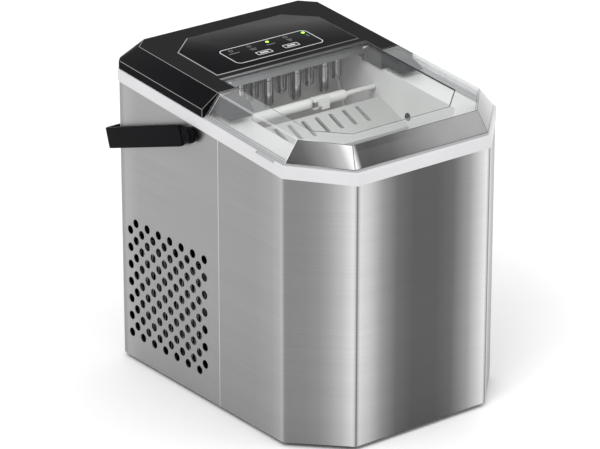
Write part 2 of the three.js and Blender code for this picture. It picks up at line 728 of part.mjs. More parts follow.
// ---- Carrying handle ----
function handle() {
  const inner = SIDE + HANDLE_SIDE_GAP;
  const outer = inner + HANDLE_THICKNESS;
  const start = HANDLE_EYE_RADIUS + HANDLE_NECK;
  const strapPlan = rounded(
    plan([[-outer, start], [outer, start], [outer, HANDLE_REACH], [-outer, HANDLE_REACH]]),
    [0, 0, HANDLE_CORNER, HANDLE_CORNER],
    4,
  );
  const openPlan = rounded(
    plan([
      [-inner, start - PAST],
      [inner, start - PAST],
      [inner, HANDLE_REACH - HANDLE_THICKNESS],
      [-inner, HANDLE_REACH - HANDLE_THICKNESS],
    ]),
    [0, 0, HANDLE_CORNER - HANDLE_THICKNESS, HANDLE_CORNER - HANDLE_THICKNESS],
    4,
  );
  const half = HANDLE_STRAP / 2;
  let strap = solid(prism(strapPlan, -half, half)).subtract(solid(prism(openPlan, -half - PAST, half + PAST)));
  for (const side of [-1, 1]) {
    const ends = span(side, inner, inner + HANDLE_THICKNESS);
    const eye = rod("x", ends[0], ends[1], 0, 0, HANDLE_EYE_RADIUS, 20);
    const neck = box(ends[0], 0, -HANDLE_EYE_RADIUS, ends[1], start + PAST, HANDLE_EYE_RADIUS);
    const bore = rod("x", ends[0] - PAST, ends[1] + PAST, 0, 0, HANDLE_PIN_RADIUS + TOUCH, 16);
    strap = strap.add(eye).add(neck).subtract(bore);
  }
  const mesh = piece("handle", BLACK_MATTE, strap);
  mesh.rotation.x = -HANDLE_FOLD;
  mesh.position.set(0, HANDLE_PIVOT_Y, HANDLE_PIVOT_HEIGHT);
  return mesh;
}

function handlePivots() {
  return [-1, 1].map((side) => {
    const face = SIDE + HANDLE_SIDE_GAP + HANDLE_THICKNESS;
    const [s0, s1] = span(side, SIDE + TOUCH, face + PAST);
    const [h0, h1] = span(side, face + TOUCH, face + TOUCH + HANDLE_PIN_HEAD_DEPTH);
    const shank = rod("x", s0, s1, HANDLE_PIVOT_Y, HANDLE_PIVOT_HEIGHT, HANDLE_PIN_RADIUS, 16);
    const head = rod("x", h0, h1, HANDLE_PIVOT_Y, HANDLE_PIVOT_HEIGHT, HANDLE_PIN_HEAD, 16);
    return piece(side < 0 ? "handle_pivot_left" : "handle_pivot_right", BLACK_MATTE, shank.add(head));
  });
}

// ---- Tank and what stands in it ----
// The tank's plan between two depths, with its front corners cut when it reaches the front.
function tankPlan(gap, y1) {
  const x = TANK_HALF - gap;
  const y0 = TANK_FRONT + gap;
  const cut = TANK_CORNER;
  return plan([[-x + cut, y0], [x - cut, y0], [x, y0 + cut], [x, y1], [-x, y1], [-x, y0 + cut]]);
}

function tankLiner() {
  const shelf = solid(prism(tankPlan(0, TANK_REAR_Y), TANK_REAR_FLOOR - TANK_WALL, DECK_HEIGHT * 2));
  const well = solid(prism(tankPlan(0, TANK_STEP_Y), TANK_FRONT_FLOOR - TANK_WALL, TANK_REAR_FLOOR));
  const shelfPlan = tankPlan(TANK_WALL, TANK_REAR_Y - TANK_WALL);
  const wellPlan = tankPlan(TANK_WALL, TANK_STEP_Y - TANK_WALL);
  const shelfHollow = solid(prism(shelfPlan, TANK_REAR_FLOOR, DECK_HEIGHT * 3));
  const wellHollow = solid(prism(wellPlan, TANK_FRONT_FLOOR, TANK_REAR_FLOOR + PAST));
  const flange = onDeck(prism(bodyPlan(RIM_WIDTH + TOUCH), -TANK_FLANGE, 0));
  let liner = shelf.add(well).subtract(above(-TANK_FLANGE / 2)).add(flange);
  liner = liner.subtract(shelfHollow).subtract(wellHollow);
  const ledgeTop = BASKET_FLOOR - TOUCH;
  for (const side of [-1, 1]) {
    const ends = span(side, TANK_INNER + PAST, TANK_INNER - LEDGE_WIDTH);
    const y0 = TANK_FRONT + TANK_CORNER + PAST;
    const y1 = TANK_STEP_Y - TANK_WALL;
    liner = liner.add(box(ends[0], y0, ledgeTop - LEDGE_HEIGHT, ends[1], y1, ledgeTop));
  }
  const { pivot } = trayPlace();
  const eye = deck(SENSOR_Y) - SENSOR_DROP;
  const holes = [
    rod("x", -BODY_WIDTH, BODY_WIDTH, pivot.y, pivot.z, TRAY_PIVOT_RADIUS + TOUCH, 16),
    rod("x", 0, BODY_WIDTH, DRAIN_Y, DRAIN_HEIGHT, DRAIN_BORE),
    rod("x", 0, BODY_WIDTH, SENSOR_Y, eye, SENSOR_RADIUS + TOUCH, 16),
    rod("z", 0, DECK_HEIGHT * 2, lineX(), lineHoleY(), LINE_RADIUS + LINE_HOLE_GAP, 12),
  ];
  return piece("tank_liner", WHITE_PLASTIC, holes.reduce((body, hole) => body.subtract(hole), liner));
}

function iceBasket() {
  const x = TANK_INNER - BASKET_SIDE_CLEARANCE;
  const y0 = TANK_FRONT + TANK_WALL + BASKET_FRONT_CLEARANCE;
  const cut = TANK_CORNER;
  const outline = (g) =>
    plan([
      [-x + cut, y0 + g],
      [x - cut, y0 + g],
      [x - g, y0 + cut],
      [x - g, BASKET_REAR_Y - g],
      [-x + g, BASKET_REAR_Y - g],
      [-x + g, y0 + cut],
    ]);
  let basket = solid(prism(outline(0), BASKET_FLOOR, BASKET_FLOOR + BASKET_HEIGHT));
  basket = basket.subtract(solid(prism(outline(BASKET_WALL), BASKET_FLOOR + BASKET_WALL, DECK_HEIGHT * 2)));
  for (let i = 0; i < BASKET_SLOTS; i++) {
    const sx = (i - (BASKET_SLOTS - 1) / 2) * BASKET_SLOT_PITCH;
    const w = BASKET_SLOT_WIDTH / 2;
    const top = BASKET_FLOOR + BASKET_WALL + PAST;
    basket = basket.subtract(box(sx - w, y0 + cut, 0, sx + w, BASKET_REAR_Y - cut / 2, top));
  }
  return piece("ice_basket", WHITE_PLASTIC, basket);
}

function iceRamp() {
  const half = TANK_INNER - TOUCH;
  let ramp = box(-half, -RAMP_LENGTH, -RAMP_THICKNESS, half, 0, 0);
  for (let i = 0; i < RAMP_SLOTS; i++) {
    const sx = (i - (RAMP_SLOTS - 1) / 2) * RAMP_SLOT_PITCH;
    const w = RAMP_SLOT_WIDTH / 2;
    const y1 = -(RAMP_LENGTH - RAMP_SLOT_LENGTH) / 2;
    ramp = ramp.subtract(box(sx - w, y1 - RAMP_SLOT_LENGTH, -RAMP_THICKNESS - PAST, sx + w, y1, PAST));
  }
  const mesh = piece("ice_ramp", WHITE_PLASTIC, ramp);
  mesh.rotation.x = RAMP_PITCH;
  mesh.position.set(0, RAMP_REAR_Y, deck(RAMP_REAR_Y) - RAMP_DROP);
  return mesh;
}

function iceSensor() {
  const z = deck(SENSOR_Y) - SENSOR_DROP;
  const tail = TANK_HALF + SENSOR_TAIL;
  const eye = rod("x", TANK_INNER - SENSOR_PROUD, tail, SENSOR_Y, z, SENSOR_RADIUS, 14);
  return piece("ice_sensor", BLACK_MATTE, eye);
}

// ---- Evaporator ----
const tubeHeight = () => FINGER_TIP_HEIGHT + FINGER_LENGTH + TUBE_RADIUS + TOUCH;
const fingerX = (index) => EVAPORATOR_X + (index - (FINGERS_REAR - 1) / 2) * FINGER_PITCH;
const lineHoleY = () => FINGER_REAR_Y + LINE_BEHIND_FINGERS;
const lineX = () => -TANK_HALF - LINE_OUTSIDE_TANK;

function freezingFingers() {
  const section = [];
  const tip = 4;
  for (let i = 0; i <= tip; i++) {
    const angle = (i / tip) * (Math.PI / 2);
    section.push(new THREE.Vector2(FINGER_RADIUS * Math.sin(angle), FINGER_RADIUS * (1 - Math.cos(angle))));
  }
  section.push(new THREE.Vector2(FINGER_RADIUS, FINGER_LENGTH));
  section.push(new THREE.Vector2(0, FINGER_LENGTH));
  const shape = solid(new THREE.LatheGeometry(section, 12).rotateX(Math.PI / 2));
  return Array.from({ length: FINGERS_REAR + FINGERS_FRONT }, (_, i) => {
    const rear = i < FINGERS_REAR;
    const mesh = piece(`freezing_finger_${i + 1}`, CHROME, shape);
    const y = rear ? FINGER_REAR_Y : FINGER_REAR_Y - FINGER_ROW_GAP;
    mesh.position.set(fingerX(rear ? i : i - FINGERS_REAR), y, FINGER_TIP_HEIGHT);
    return mesh;
  });
}

// Two legs over the two rows of fingers, joined by a bend at the right.
function evaporatorTube() {
  const z = tubeHeight();
  const front = FINGER_REAR_Y - FINGER_ROW_GAP;
  const x0 = fingerX(0) - FINGER_RADIUS;
  const x1 = fingerX(FINGERS_REAR - 1);
  const legs = [front, FINGER_REAR_Y].map((y) => rod("x", x0, x1 + 1, y, z, TUBE_RADIUS, 12));
  const bend = line(
    [
      [x1, front, z],
      [x1 + 6, front + 2, z],
      [x1 + 9, (front + FINGER_REAR_Y) / 2, z],
      [x1 + 6, FINGER_REAR_Y - 2, z],
      [x1, FINGER_REAR_Y, z],
    ],
    TUBE_RADIUS - 0.4,
    12,
  );
  return piece("evaporator_tube", COPPER, legs[0].add(legs[1]).add(bend));
}

// ---- Tilting water tray ----
// The tray's walls and pivot while it is raised round the fingers.
function trayPlace() {
  const front = FINGER_REAR_Y - FINGER_ROW_GAP - FINGER_RADIUS - TRAY_FRONT_CLEARANCE - TRAY_WALL;
  const rear = FINGER_REAR_Y + FINGER_RADIUS + TRAY_REAR_CLEARANCE + TRAY_WALL;
  const floor = FINGER_TIP_HEIGHT - TRAY_TIP_CLEARANCE - TRAY_WALL;
  const pivot = { y: rear + TRAY_PIVOT_BEHIND, z: floor + TRAY_DEPTH - TRAY_PIVOT_DROP };
  return { front, rear, floor, pivot };
}

function waterTray() {
  const { front, rear, floor, pivot } = trayPlace();
  const half = TANK_INNER - TRAY_SIDE_CLEARANCE;
  const w = TRAY_WALL;
  const y0 = front - pivot.y;
  const y1 = rear - pivot.y;
  const z0 = floor - pivot.z;
  const z1 = z0 + TRAY_DEPTH;
  let tray = box(-half, y0, z0, half, y1, z1);
  tray = tray.subtract(box(-half + w, y0 + w, z0 + w, half - w, y1 - w, z1 + PAST));
  for (const side of [-1, 1]) {
    const [e0, e1] = span(side, half - w, half);
    const [p0, p1] = span(side, half - PAST, TANK_HALF + TRAY_PIVOT_PROUD);
    tray = tray.add(rod("x", e0, e1, 0, 0, TRAY_EAR_RADIUS, 20));
    tray = tray.add(box(e0, y1 - PAST, -TRAY_EAR_RADIUS, e1, 0, TRAY_PIVOT_DROP));
    tray = tray.add(rod("x", p0, p1, 0, 0, TRAY_PIVOT_RADIUS, 16));
  }
  const mesh = piece("water_tray", WHITE_PLASTIC, tray);
  mesh.rotation.x = TRAY_LOWERED;
  mesh.position.set(0, pivot.y, pivot.z);
  return mesh;
}

function trayMotor() {
  const x0 = TANK_HALF + TRAY_PIVOT_PROUD + TOUCH;
  const { pivot } = trayPlace();
  const motor = rod("x", x0, x0 + TRAY_MOTOR_LENGTH, pivot.y, pivot.z, TRAY_MOTOR_RADIUS, 20);
  return piece("tray_motor", ALUMINIUM, motor);
}

// The pusher ahead of the tray: a round bar with a notched bracket hooked over it.
function iceShovel() {
  const z = deck(SHOVEL_Y) - SHOVEL_DROP;
  const bar = rod("x", SHOVEL_LEFT_X, SHOVEL_RIGHT_X, SHOVEL_Y, z, SHOVEL_RADIUS, 20);
  const x0 = SHOVEL_BRACKET_X;
  const x1 = SHOVEL_BRACKET_X + SHOVEL_BRACKET_WIDTH;
  const y0 = SHOVEL_Y - SHOVEL_RADIUS - SHOVEL_HOOK;
  const hook = box(x0, y0, z - SHOVEL_RADIUS, x1, SHOVEL_Y, z + SHOVEL_RADIUS + SHOVEL_HOOK / 2);
  const toe = box((x0 + x1) / 2, y0, z - SHOVEL_RADIUS - SHOVEL_TOE, x1, y0 + SHOVEL_TOE * 2, z);
  const stub = rod("x", -TANK_INNER + TOUCH, TANK_INNER - TOUCH, SHOVEL_Y, z, SHOVEL_RADIUS / 2, 12);
  return piece("ice_shovel", WHITE_PLASTIC, bar.add(hook).add(toe).add(stub));
}

// ---- Cooling parts on the base ----
function compressor() {
  const r = COMPRESSOR_RADIUS;
  const h = COMPRESSOR_HEIGHT;
  const foot = r - COMPRESSOR_FOOT_ROUND;
  const profile = new THREE.Path();
  profile.moveTo(0, 0);
  profile.lineTo(foot, 0);
  profile.quadraticCurveTo(r, 0, r, COMPRESSOR_FOOT_ROUND);
  profile.lineTo(r, h - COMPRESSOR_DOME);
  profile.quadraticCurveTo(r, h, 0, h);
  const can = solid(new THREE.LatheGeometry(profile.getPoints(4), 24).rotateX(Math.PI / 2));
  const half = COMPRESSOR_PLATE / 2;
  const plate = box(-half, -half, -COOLING_LIFT + TOUCH, half, half, PAST);
  const mesh = piece("compressor", BLACK_MATTE, can.add(plate));
  mesh.position.set(COMPRESSOR_X, COMPRESSOR_Y, COOLING_BASE);
  return mesh;
}

function condenserPlace() {
  const x0 = -SIDE + SHEET + CONDENSER_SIDE_GAP;
  const rear = REAR - VENT_REAR_INSET;
  return { x0, x1: x0 + CONDENSER_DEPTH, y0: rear - CONDENSER_LENGTH, y1: rear };
}

// A comb of upright fins on a spine, raised from the base.
function condenser() {
  const { x0, x1, y0, y1 } = condenserPlace();
  const pitch = (y1 - y0 - CONDENSER_FIN) / (CONDENSER_FINS - 1);
  const outline = [[x1, y0], [x1, y1]];
  for (let i = CONDENSER_FINS - 1; i >= 0; i--) {
    const y = y0 + i * pitch;
    outline.push([x0, y + CONDENSER_FIN], [x0, y]);
    if (i > 0) outline.push([x1 - CONDENSER_SPINE, y], [x1 - CONDENSER_SPINE, y - pitch + CONDENSER_FIN]);
  }
  const comb = solid(prism(plan(outline), BASE_TOP + TOUCH, BASE_TOP + TOUCH + CONDENSER_HEIGHT));
  return piece("condenser", ALUMINIUM, comb);
}

function fanPlace() {
  const { x1, y0, y1 } = condenserPlace();
  return { x: x1 + RUNNING, y: (y0 + y1) / 2, z: BASE_TOP + TOUCH + FAN_SIZE / 2 };
}

// A square duct whose rear bar carries the motor.
function fanFrame() {
  const { x, y, z } = fanPlace();
  const h = FAN_SIZE / 2;
  let frame = box(x, y - h, z - h, x + FAN_DEPTH, y + h, z + h);
  frame = frame.subtract(rod("x", x - PAST, x + FAN_DEPTH + PAST, y, z, FAN_BORE_RADIUS, 32));
  const back = x + FAN_DEPTH - FAN_BAR_DEPTH;
  const tall = FAN_BAR_WIDTH / 2;
  const bar = box(back, y - h + PAST, z - tall, x + FAN_DEPTH, y + h - PAST, z + tall);
  const seat = rod("x", back, x + FAN_DEPTH, y, z, FAN_MOTOR_RADIUS, 24);
  const hole = rod("x", x, x + FAN_DEPTH + PAST, y, z, FAN_SHAFT_RADIUS + TOUCH, 12);
  return piece("fan_frame", BLACK_MATTE, frame.add(bar).add(seat).subtract(hole));
}

function fanMotor() {
  const { x, y, z } = fanPlace();
  const face = x + FAN_DEPTH + TOUCH;
  const can = rod("x", face, face + FAN_MOTOR_LENGTH, y, z, FAN_MOTOR_RADIUS, 20);
  const shaft = rod("x", x + FAN_WHEEL_INSET, face + PAST, y, z, FAN_SHAFT_RADIUS, 12);
  return piece("fan_motor", ALUMINIUM, can.add(shaft));
}

function fanBlade() {
  const { x, y, z } = fanPlace();
  const depth = FAN_WHEEL_DEPTH;
  let wheel = rod("x", 0, depth, 0, 0, FAN_HUB_RADIUS, 24);
  const root = FAN_HUB_RADIUS - OVER / 2;
  const reach = FAN_BLADE_RADIUS - root;
  const blade = new THREE.BoxGeometry(FAN_BLADE_THICKNESS, FAN_BLADE_WIDTH, reach);
  blade.rotateZ(FAN_BLADE_TWIST).translate(depth / 2, 0, root + reach / 2);
  for (let i = 0; i < FAN_BLADES; i++) {
    const turn = new THREE.Matrix4().makeRotationX((i * 2 * Math.PI) / FAN_BLADES);
    wheel = wheel.add(solid(blade, turn));
  }
  wheel = wheel.subtract(rod("x", -PAST, depth + PAST, 0, 0, FAN_SHAFT_RADIUS + TOUCH, 12));
  const mesh = piece("fan_blade", BLACK_MATTE, wheel);
  mesh.position.set(x + FAN_WHEEL_INSET, y, z);
  return mesh;
}

// ---- Lines ----
// A route's points: each is a start moved by one of the listed steps.
const route = ([x, y, z], steps) => steps.map(([dx, dy, dz]) => [x + dx, y + dy, z + dz]);

function suctionLine() {
  const z = tubeHeight();
  const end = [fingerX(0) - FINGER_RADIUS - TOUCH - LINE_RADIUS, FINGER_REAR_Y, z];
  const corner = [lineX(), lineHoleY(), z];
  const behind = [lineX(), (TANK_REAR_Y + REAR) / 2, z];
  const can = [COMPRESSOR_X, COMPRESSOR_Y, COOLING_BASE + COMPRESSOR_HEIGHT];
  const points = [
    ...route(end, SUCTION_FROM_EVAPORATOR),
    ...route(corner, SUCTION_THROUGH_DECK),
    ...route(behind, SUCTION_BEHIND_TANK),
    ...route(can, SUCTION_TO_COMPRESSOR),
  ];
  return piece("suction_line", COPPER, line(points, COPPER_LINE_RADIUS, 28, 6));
}

function dischargeLine() {
  const { x1, y1 } = condenserPlace();
  const can = [COMPRESSOR_X, COMPRESSOR_Y, COOLING_BASE + COMPRESSOR_HEIGHT];
  const points = [
    ...route([x1, y1, BASE_TOP + TOUCH + CONDENSER_HEIGHT + LINE_RADIUS], DISCHARGE_FROM_CONDENSER),
    ...route(can, DISCHARGE_TO_COMPRESSOR),
  ];
  return piece("discharge_line", COPPER, line(points, COPPER_LINE_RADIUS, 16, 6));
}

// ---- Water side ----
function waterPump() {
  const foot = BASE_TOP + TOUCH;
  const body = rod("z", foot, foot + PUMP_HEIGHT, PUMP_X, PUMP_Y, PUMP_RADIUS, 20);
  const spoutEnd = PUMP_X - PUMP_RADIUS - PUMP_SPOUT;
  const spout = rod("x", spoutEnd, PUMP_X, PUMP_Y, BASE_TOP + PUMP_HEIGHT / 2, LINE_RADIUS, 10);
  return piece("water_pump", WHITE_PLASTIC, body.add(spout));
}

function pumpHose() {
  const z = BASE_TOP + PUMP_HEIGHT / 2;
  const x0 = PUMP_X - PUMP_RADIUS - PUMP_SPOUT - 2 * TOUCH;
  const up = -TANK_HALF - HOSE_OUTSIDE_TANK;
  const points = [
    ...route([x0, PUMP_Y, z], HOSE_FROM_PUMP),
    ...route([up, PUMP_Y, z], HOSE_UP),
    ...route([up, TANK_STEP_Y, TANK_REAR_FLOOR], HOSE_TO_TRAY),
  ];
  return piece("pump_hose", WHITE_PLASTIC, line(points, LINE_RADIUS, 22, 6));
}

function drainTube() {
  const tube = rod("x", TANK_HALF + TOUCH, SIDE - SHEET - TOUCH, DRAIN_Y, DRAIN_HEIGHT, DRAIN_RADIUS, 20);
  const bore = rod("x", 0, BODY_WIDTH, DRAIN_Y, DRAIN_HEIGHT, DRAIN_BORE);
  return piece("drain_tube", WHITE_PLASTIC, tube.subtract(bore));
}

function drainPlug() {
  const face = SIDE + TOUCH;
  const head = rod("x", face, face + DRAIN_HEAD, DRAIN_Y, DRAIN_HEIGHT, DRAIN_HEAD_RADIUS, 24);
  const inside = face - DRAIN_PLUG_DEPTH;
  const stem = rod("x", inside, face + PAST, DRAIN_Y, DRAIN_HEIGHT, DRAIN_BORE - RUNNING, 16);
  return piece("drain_plug", RUBBER, head.add(stem));
}

// ---- Electrical parts ----
function powerBoard() {
  const x0 = POWER_BOARD_X - POWER_BOARD_WIDTH / 2;
  const y0 = POWER_BOARD_Y - POWER_BOARD_DEPTH / 2;
  const z0 = BASE_TOP + COOLING_LIFT;
  const top = z0 + BOARD_THICKNESS;
  let board = box(x0, y0, z0, x0 + POWER_BOARD_WIDTH, y0 + POWER_BOARD_DEPTH, top);
  for (const [x, y, width, depth, tall] of POWER_PARTS) {
    board = board.add(box(x0 + x, y0 + y, top - PAST, x0 + x + width, y0 + y + depth, top + tall));
  }
  const inset = POWER_POST_INSET;
  for (const px of [x0 + inset, x0 + POWER_BOARD_WIDTH - inset]) {
    for (const py of [y0 + inset, y0 + POWER_BOARD_DEPTH - inset]) {
      board = board.add(rod("z", BASE_TOP + TOUCH, z0 + PAST, px, py, POWER_POST_RADIUS, 8));
    }
  }
  return piece("power_board", GREEN_BOARD, board);
}

function powerInlet() {
  const w = INLET_WIDTH / 2;
  const h = INLET_TALL / 2;
  const z = INLET_HEIGHT;
  const face = REAR + TOUCH;
  const inside = REAR - INLET_DEPTH;
  const around = (margin, y0, y1) =>
    box(INLET_X - w - margin, y0, z - h - margin, INLET_X + w + margin, y1, z + h + margin);
  let inlet = around(0, inside, face + PAST).add(around(INLET_RIM, face, face + INLET_FLANGE));
  inlet = inlet.subtract(around(-INLET_FLANGE, inside + INLET_FLANGE, REAR * 2));
  for (const dx of [-INLET_PIN_PITCH, 0, INLET_PIN_PITCH]) {
    const x0 = INLET_X + dx - INLET_PIN_WIDTH / 2;
    const x1 = x0 + INLET_PIN_WIDTH;
    const tall = INLET_PIN_TALL / 2;
    inlet = inlet.add(box(x0, inside + PAST, z - tall, x1, REAR - INLET_PIN_INSET, z + tall));
  }
  return piece("power_inlet", BLACK_MATTE, inlet);
}

// ---- The whole machine ----
const wrap = steelWrap();
const machine = new THREE.Group();
machine.add(basePan(), ...feet(), frontShell(wrap), rearShell(wrap), topRim());
machine.add(controlCover(), controlPanel(), ...ledWindows(), controlBoard());
machine.add(button("power_button", -1), button("select_button", 1));
machine.add(...hingeBlocks(), ...lidPins(), lid(), handle(), ...handlePivots());
machine.add(tankLiner(), iceBasket(), iceRamp(), iceSensor());
machine.add(evaporatorTube(), ...freezingFingers(), waterTray(), trayMotor(), iceShovel());
machine.add(compressor(), condenser(), fanFrame(), fanMotor(), fanBlade());
machine.add(suctionLine(), dischargeLine(), waterPump(), pumpHose(), drainTube(), drainPlug());
machine.add(powerBoard(), powerInlet());

// The origin is on the floor under the middle of the whole machine, its folded handle included.
const handleReach =
  HANDLE_PIVOT_Y + HANDLE_REACH * Math.cos(HANDLE_FOLD) + (HANDLE_STRAP / 2) * Math.sin(HANDLE_FOLD);
machine.position.y = -(handleReach + FRONT - RIM_OVERHANG) / 2;

export default machine;
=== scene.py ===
"""The looks of a countertop bullet-ice maker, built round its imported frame.

Lengths in the fields are millimetres and become metres when a mesh is made. Depths are counted
back from the front of the steel body, and heights on the top are counted from the sloping deck.
"""

import logging
import math
from collections.abc import Callable, Sequence
from dataclasses import dataclass, field
from enum import Enum

import bmesh
import bpy
from mathutils import Matrix, Vector


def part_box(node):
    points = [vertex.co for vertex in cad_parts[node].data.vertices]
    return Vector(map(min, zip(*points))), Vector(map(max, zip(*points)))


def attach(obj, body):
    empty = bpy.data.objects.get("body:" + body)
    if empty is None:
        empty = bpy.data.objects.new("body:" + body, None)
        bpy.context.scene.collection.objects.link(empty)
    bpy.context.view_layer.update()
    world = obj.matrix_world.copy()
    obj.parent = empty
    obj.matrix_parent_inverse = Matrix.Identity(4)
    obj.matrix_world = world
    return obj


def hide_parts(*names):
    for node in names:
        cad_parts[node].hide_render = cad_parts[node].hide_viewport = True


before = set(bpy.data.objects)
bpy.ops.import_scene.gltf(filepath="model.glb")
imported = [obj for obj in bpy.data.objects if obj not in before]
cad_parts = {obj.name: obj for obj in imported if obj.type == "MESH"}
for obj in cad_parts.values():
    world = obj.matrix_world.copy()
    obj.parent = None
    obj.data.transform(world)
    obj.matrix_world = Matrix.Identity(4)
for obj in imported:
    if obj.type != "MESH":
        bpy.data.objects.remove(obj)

LOG = logging.getLogger("ice_maker")
MM = 0.001
# In metres: a sheet's height before the deck cuts it, the reach of a cutter that goes right through
# the top, and how near two places count as one.
UNCUT_HEIGHT = 0.3
THROUGH = 0.03
SAME = 1e-6
# Lays a body made about Z along X.
TURN_TO_X = Matrix.Rotation(math.pi / 2, 4, "Y")
Plan = Sequence[tuple[float, float]]
Colour = tuple[float, float, float]


class Side(Enum):
    """The two sides of the machine, seen from the front."""

    LEFT = -1
    RIGHT = 1


# ---------------------------------------------------------------- materials


class Graph:
    """The node tree of one material, with short calls to add and join nodes."""

    def __init__(self, name: str) -> None:
        """Starts a material with its Principled shader.

        Args:
            name: The material's name.
        """
        self.material = bpy.data.materials.new(name)
        self.material.use_nodes = True
        self.tree = self.material.node_tree
        self.shader = self.tree.nodes["Principled BSDF"]
        self.place = self.add("ShaderNodeTexCoord").outputs["Object"]

    def add(self, kind: str, inputs: dict | None = None, **settings) -> bpy.types.Node:
        """Adds a node.

        Args:
            kind: Blender's name of the node type.
            inputs: Input name or number to a value or to the socket that feeds it.
            **settings: Properties of the node itself.

        Returns:
            The new node.
        """
        node = self.tree.nodes.new(kind)
        for key, value in settings.items():
            setattr(node, key, value)
        for key, value in (inputs or {}).items():
            if isinstance(value, bpy.types.NodeSocket):
                self.tree.links.new(value, node.inputs[key])
            else:
                node.inputs[key].default_value = value
        return node

    def feed(self, socket: bpy.types.NodeSocket, name: str) -> None:
        """Joins a socket to the Principled shader's input of that name."""
        self.tree.links.new(socket, self.shader.inputs[name])

    def noise(self, scale: float, stretch: tuple = (1, 1, 1), detail: float = 4) -> bpy.types.NodeSocket:
        """Noise over the piece's own coordinates.

        Args:
            scale: Features per metre.
            stretch: Factor on the scale along each axis.
            detail: Octaves.

        Returns:
            The noise's value, 0 to 1.
        """
        mapped = self.add("ShaderNodeMapping", {"Vector": self.place, "Scale": stretch})
        inputs = {"Vector": mapped.outputs[0], "Scale": scale, "Detail": detail}
        return self.add("ShaderNodeTexNoise", inputs).outputs[0]

    def ramp(
        self, value: bpy.types.NodeSocket, stops: Sequence[tuple[float, Colour]]
    ) -> bpy.types.NodeSocket:
        """A colour ramp over a value.

        Args:
            value: The socket that drives it.
            stops: Place and colour of each stop, in order.

        Returns:
            The colour socket.
        """
        node = self.add("ShaderNodeValToRGB", {0: value})
        elements = node.color_ramp.elements
        elements.remove(elements[1])
        for index, (place, colour) in enumerate(stops):
            element = elements[0] if index == 0 else elements.new(place)
            element.position = place
            element.color = (*colour, 1)
        return node.outputs[0]

    def span(self, value: bpy.types.NodeSocket, low: float, high: float) -> bpy.types.NodeSocket:
        """Maps a 0 to 1 value onto a range."""
        node = self.add("ShaderNodeMapRange", {"Value": value, "To Min": low, "To Max": high})
        return node.outputs[0]

    def along(self, run: tuple, painted_light_bands: Sequence[tuple[float, float]]) -> bpy.types.NodeSocket:
        """Painted light and shade: tones that change along a direction, from 150 mm before the middle to 150
        mm past it.

        Args:
            run: The direction.
            painted_light_bands: Place, 0 to 1, and value of each painted tone of light and shade.

        Returns:
            The colour socket.
        """
        dot = self.add("ShaderNodeVectorMath", {0: self.place, 1: run}, operation="DOT_PRODUCT")
        reach = {"Value": dot.outputs["Value"], "From Min": -0.15, "From Max": 0.15}
        place = self.add("ShaderNodeMapRange", reach).outputs[0]
        return self.ramp(place, [(spot, grey(value)) for spot, value in painted_light_bands])

    def times(self, a: bpy.types.NodeSocket, b: bpy.types.NodeSocket) -> bpy.types.NodeSocket:
        """One colour multiplied by another."""
        node = self.add("ShaderNodeMix", {0: 1.0, 6: a, 7: b}, data_type="RGBA", blend_type="MULTIPLY")
        return node.outputs[2]

    def bump(self, height: bpy.types.NodeSocket, depth: float) -> None:
        """Raises the surface by a height map, to a depth in metres."""
        node = self.add("ShaderNodeBump", {"Height": height, "Distance": depth, "Strength": 1.0})
        self.feed(node.outputs[0], "Normal")


def grey(value: float) -> Colour:
    """A neutral colour of one linear value."""
    return (value, value, value)


@dataclass(frozen=True)
class Moulding:
    """Moulded plastic or rubber: fine grain, slight mottling and uneven gloss; where given, painted light
    and shade along X.
    """

    name: str
    colour: Colour
    roughness: float
    grain: float = 1400
    depth: float = 0.00002
    mottle: float = 0.08
    index: float = 1.45
    painted_light_and_shade: tuple[tuple[float, float], ...] = ()

    def make(self) -> bpy.types.Material:
        """Builds the material.

        Returns:
            The material.
        """
        graph = Graph(self.name)
        low = tuple(c * (1 - self.mottle) for c in self.colour)
        high = tuple(min(1, c * (1 + self.mottle)) for c in self.colour)
        cloud = graph.noise(18)
        tone = graph.ramp(cloud, [(0.3, low), (0.7, high)])
        # Painted light and shade: a tone ramp along X, multiplied into the colour.
        if self.painted_light_and_shade:
            tone = graph.times(tone, graph.along((1, 0, 0), self.painted_light_and_shade))
        graph.feed(tone, "Base Color")
        grain = graph.noise(self.grain, detail=2)
        graph.feed(graph.span(graph.noise(90), self.roughness * 0.85, self.roughness * 1.15), "Roughness")
        graph.bump(grain, self.depth)
        graph.shader.inputs["IOR"].default_value = self.index
        return graph.material


@dataclass(frozen=True)
class BareMetal:
    """Metal with no paint: plated, cast, drawn or rolled, with a stretched mill grain."""

    name: str
    colour: Colour
    roughness: float
    stretch: tuple = (1, 1, 1)
    grain: float = 300

    def make(self) -> bpy.types.Material:
        """Builds the material.

        Returns:
            The material.
        """
        graph = Graph(self.name)
        streak = graph.noise(self.grain, self.stretch)
        low = tuple(c * 0.88 for c in self.colour)
        graph.feed(graph.ramp(streak, [(0.25, low), (0.75, self.colour)]), "Base Color")
        graph.feed(graph.span(streak, self.roughness * 0.8, self.roughness * 1.25), "Roughness")
        graph.bump(streak, 0.00001)
        graph.shader.inputs["Metallic"].default_value = 1.0
        return graph.material


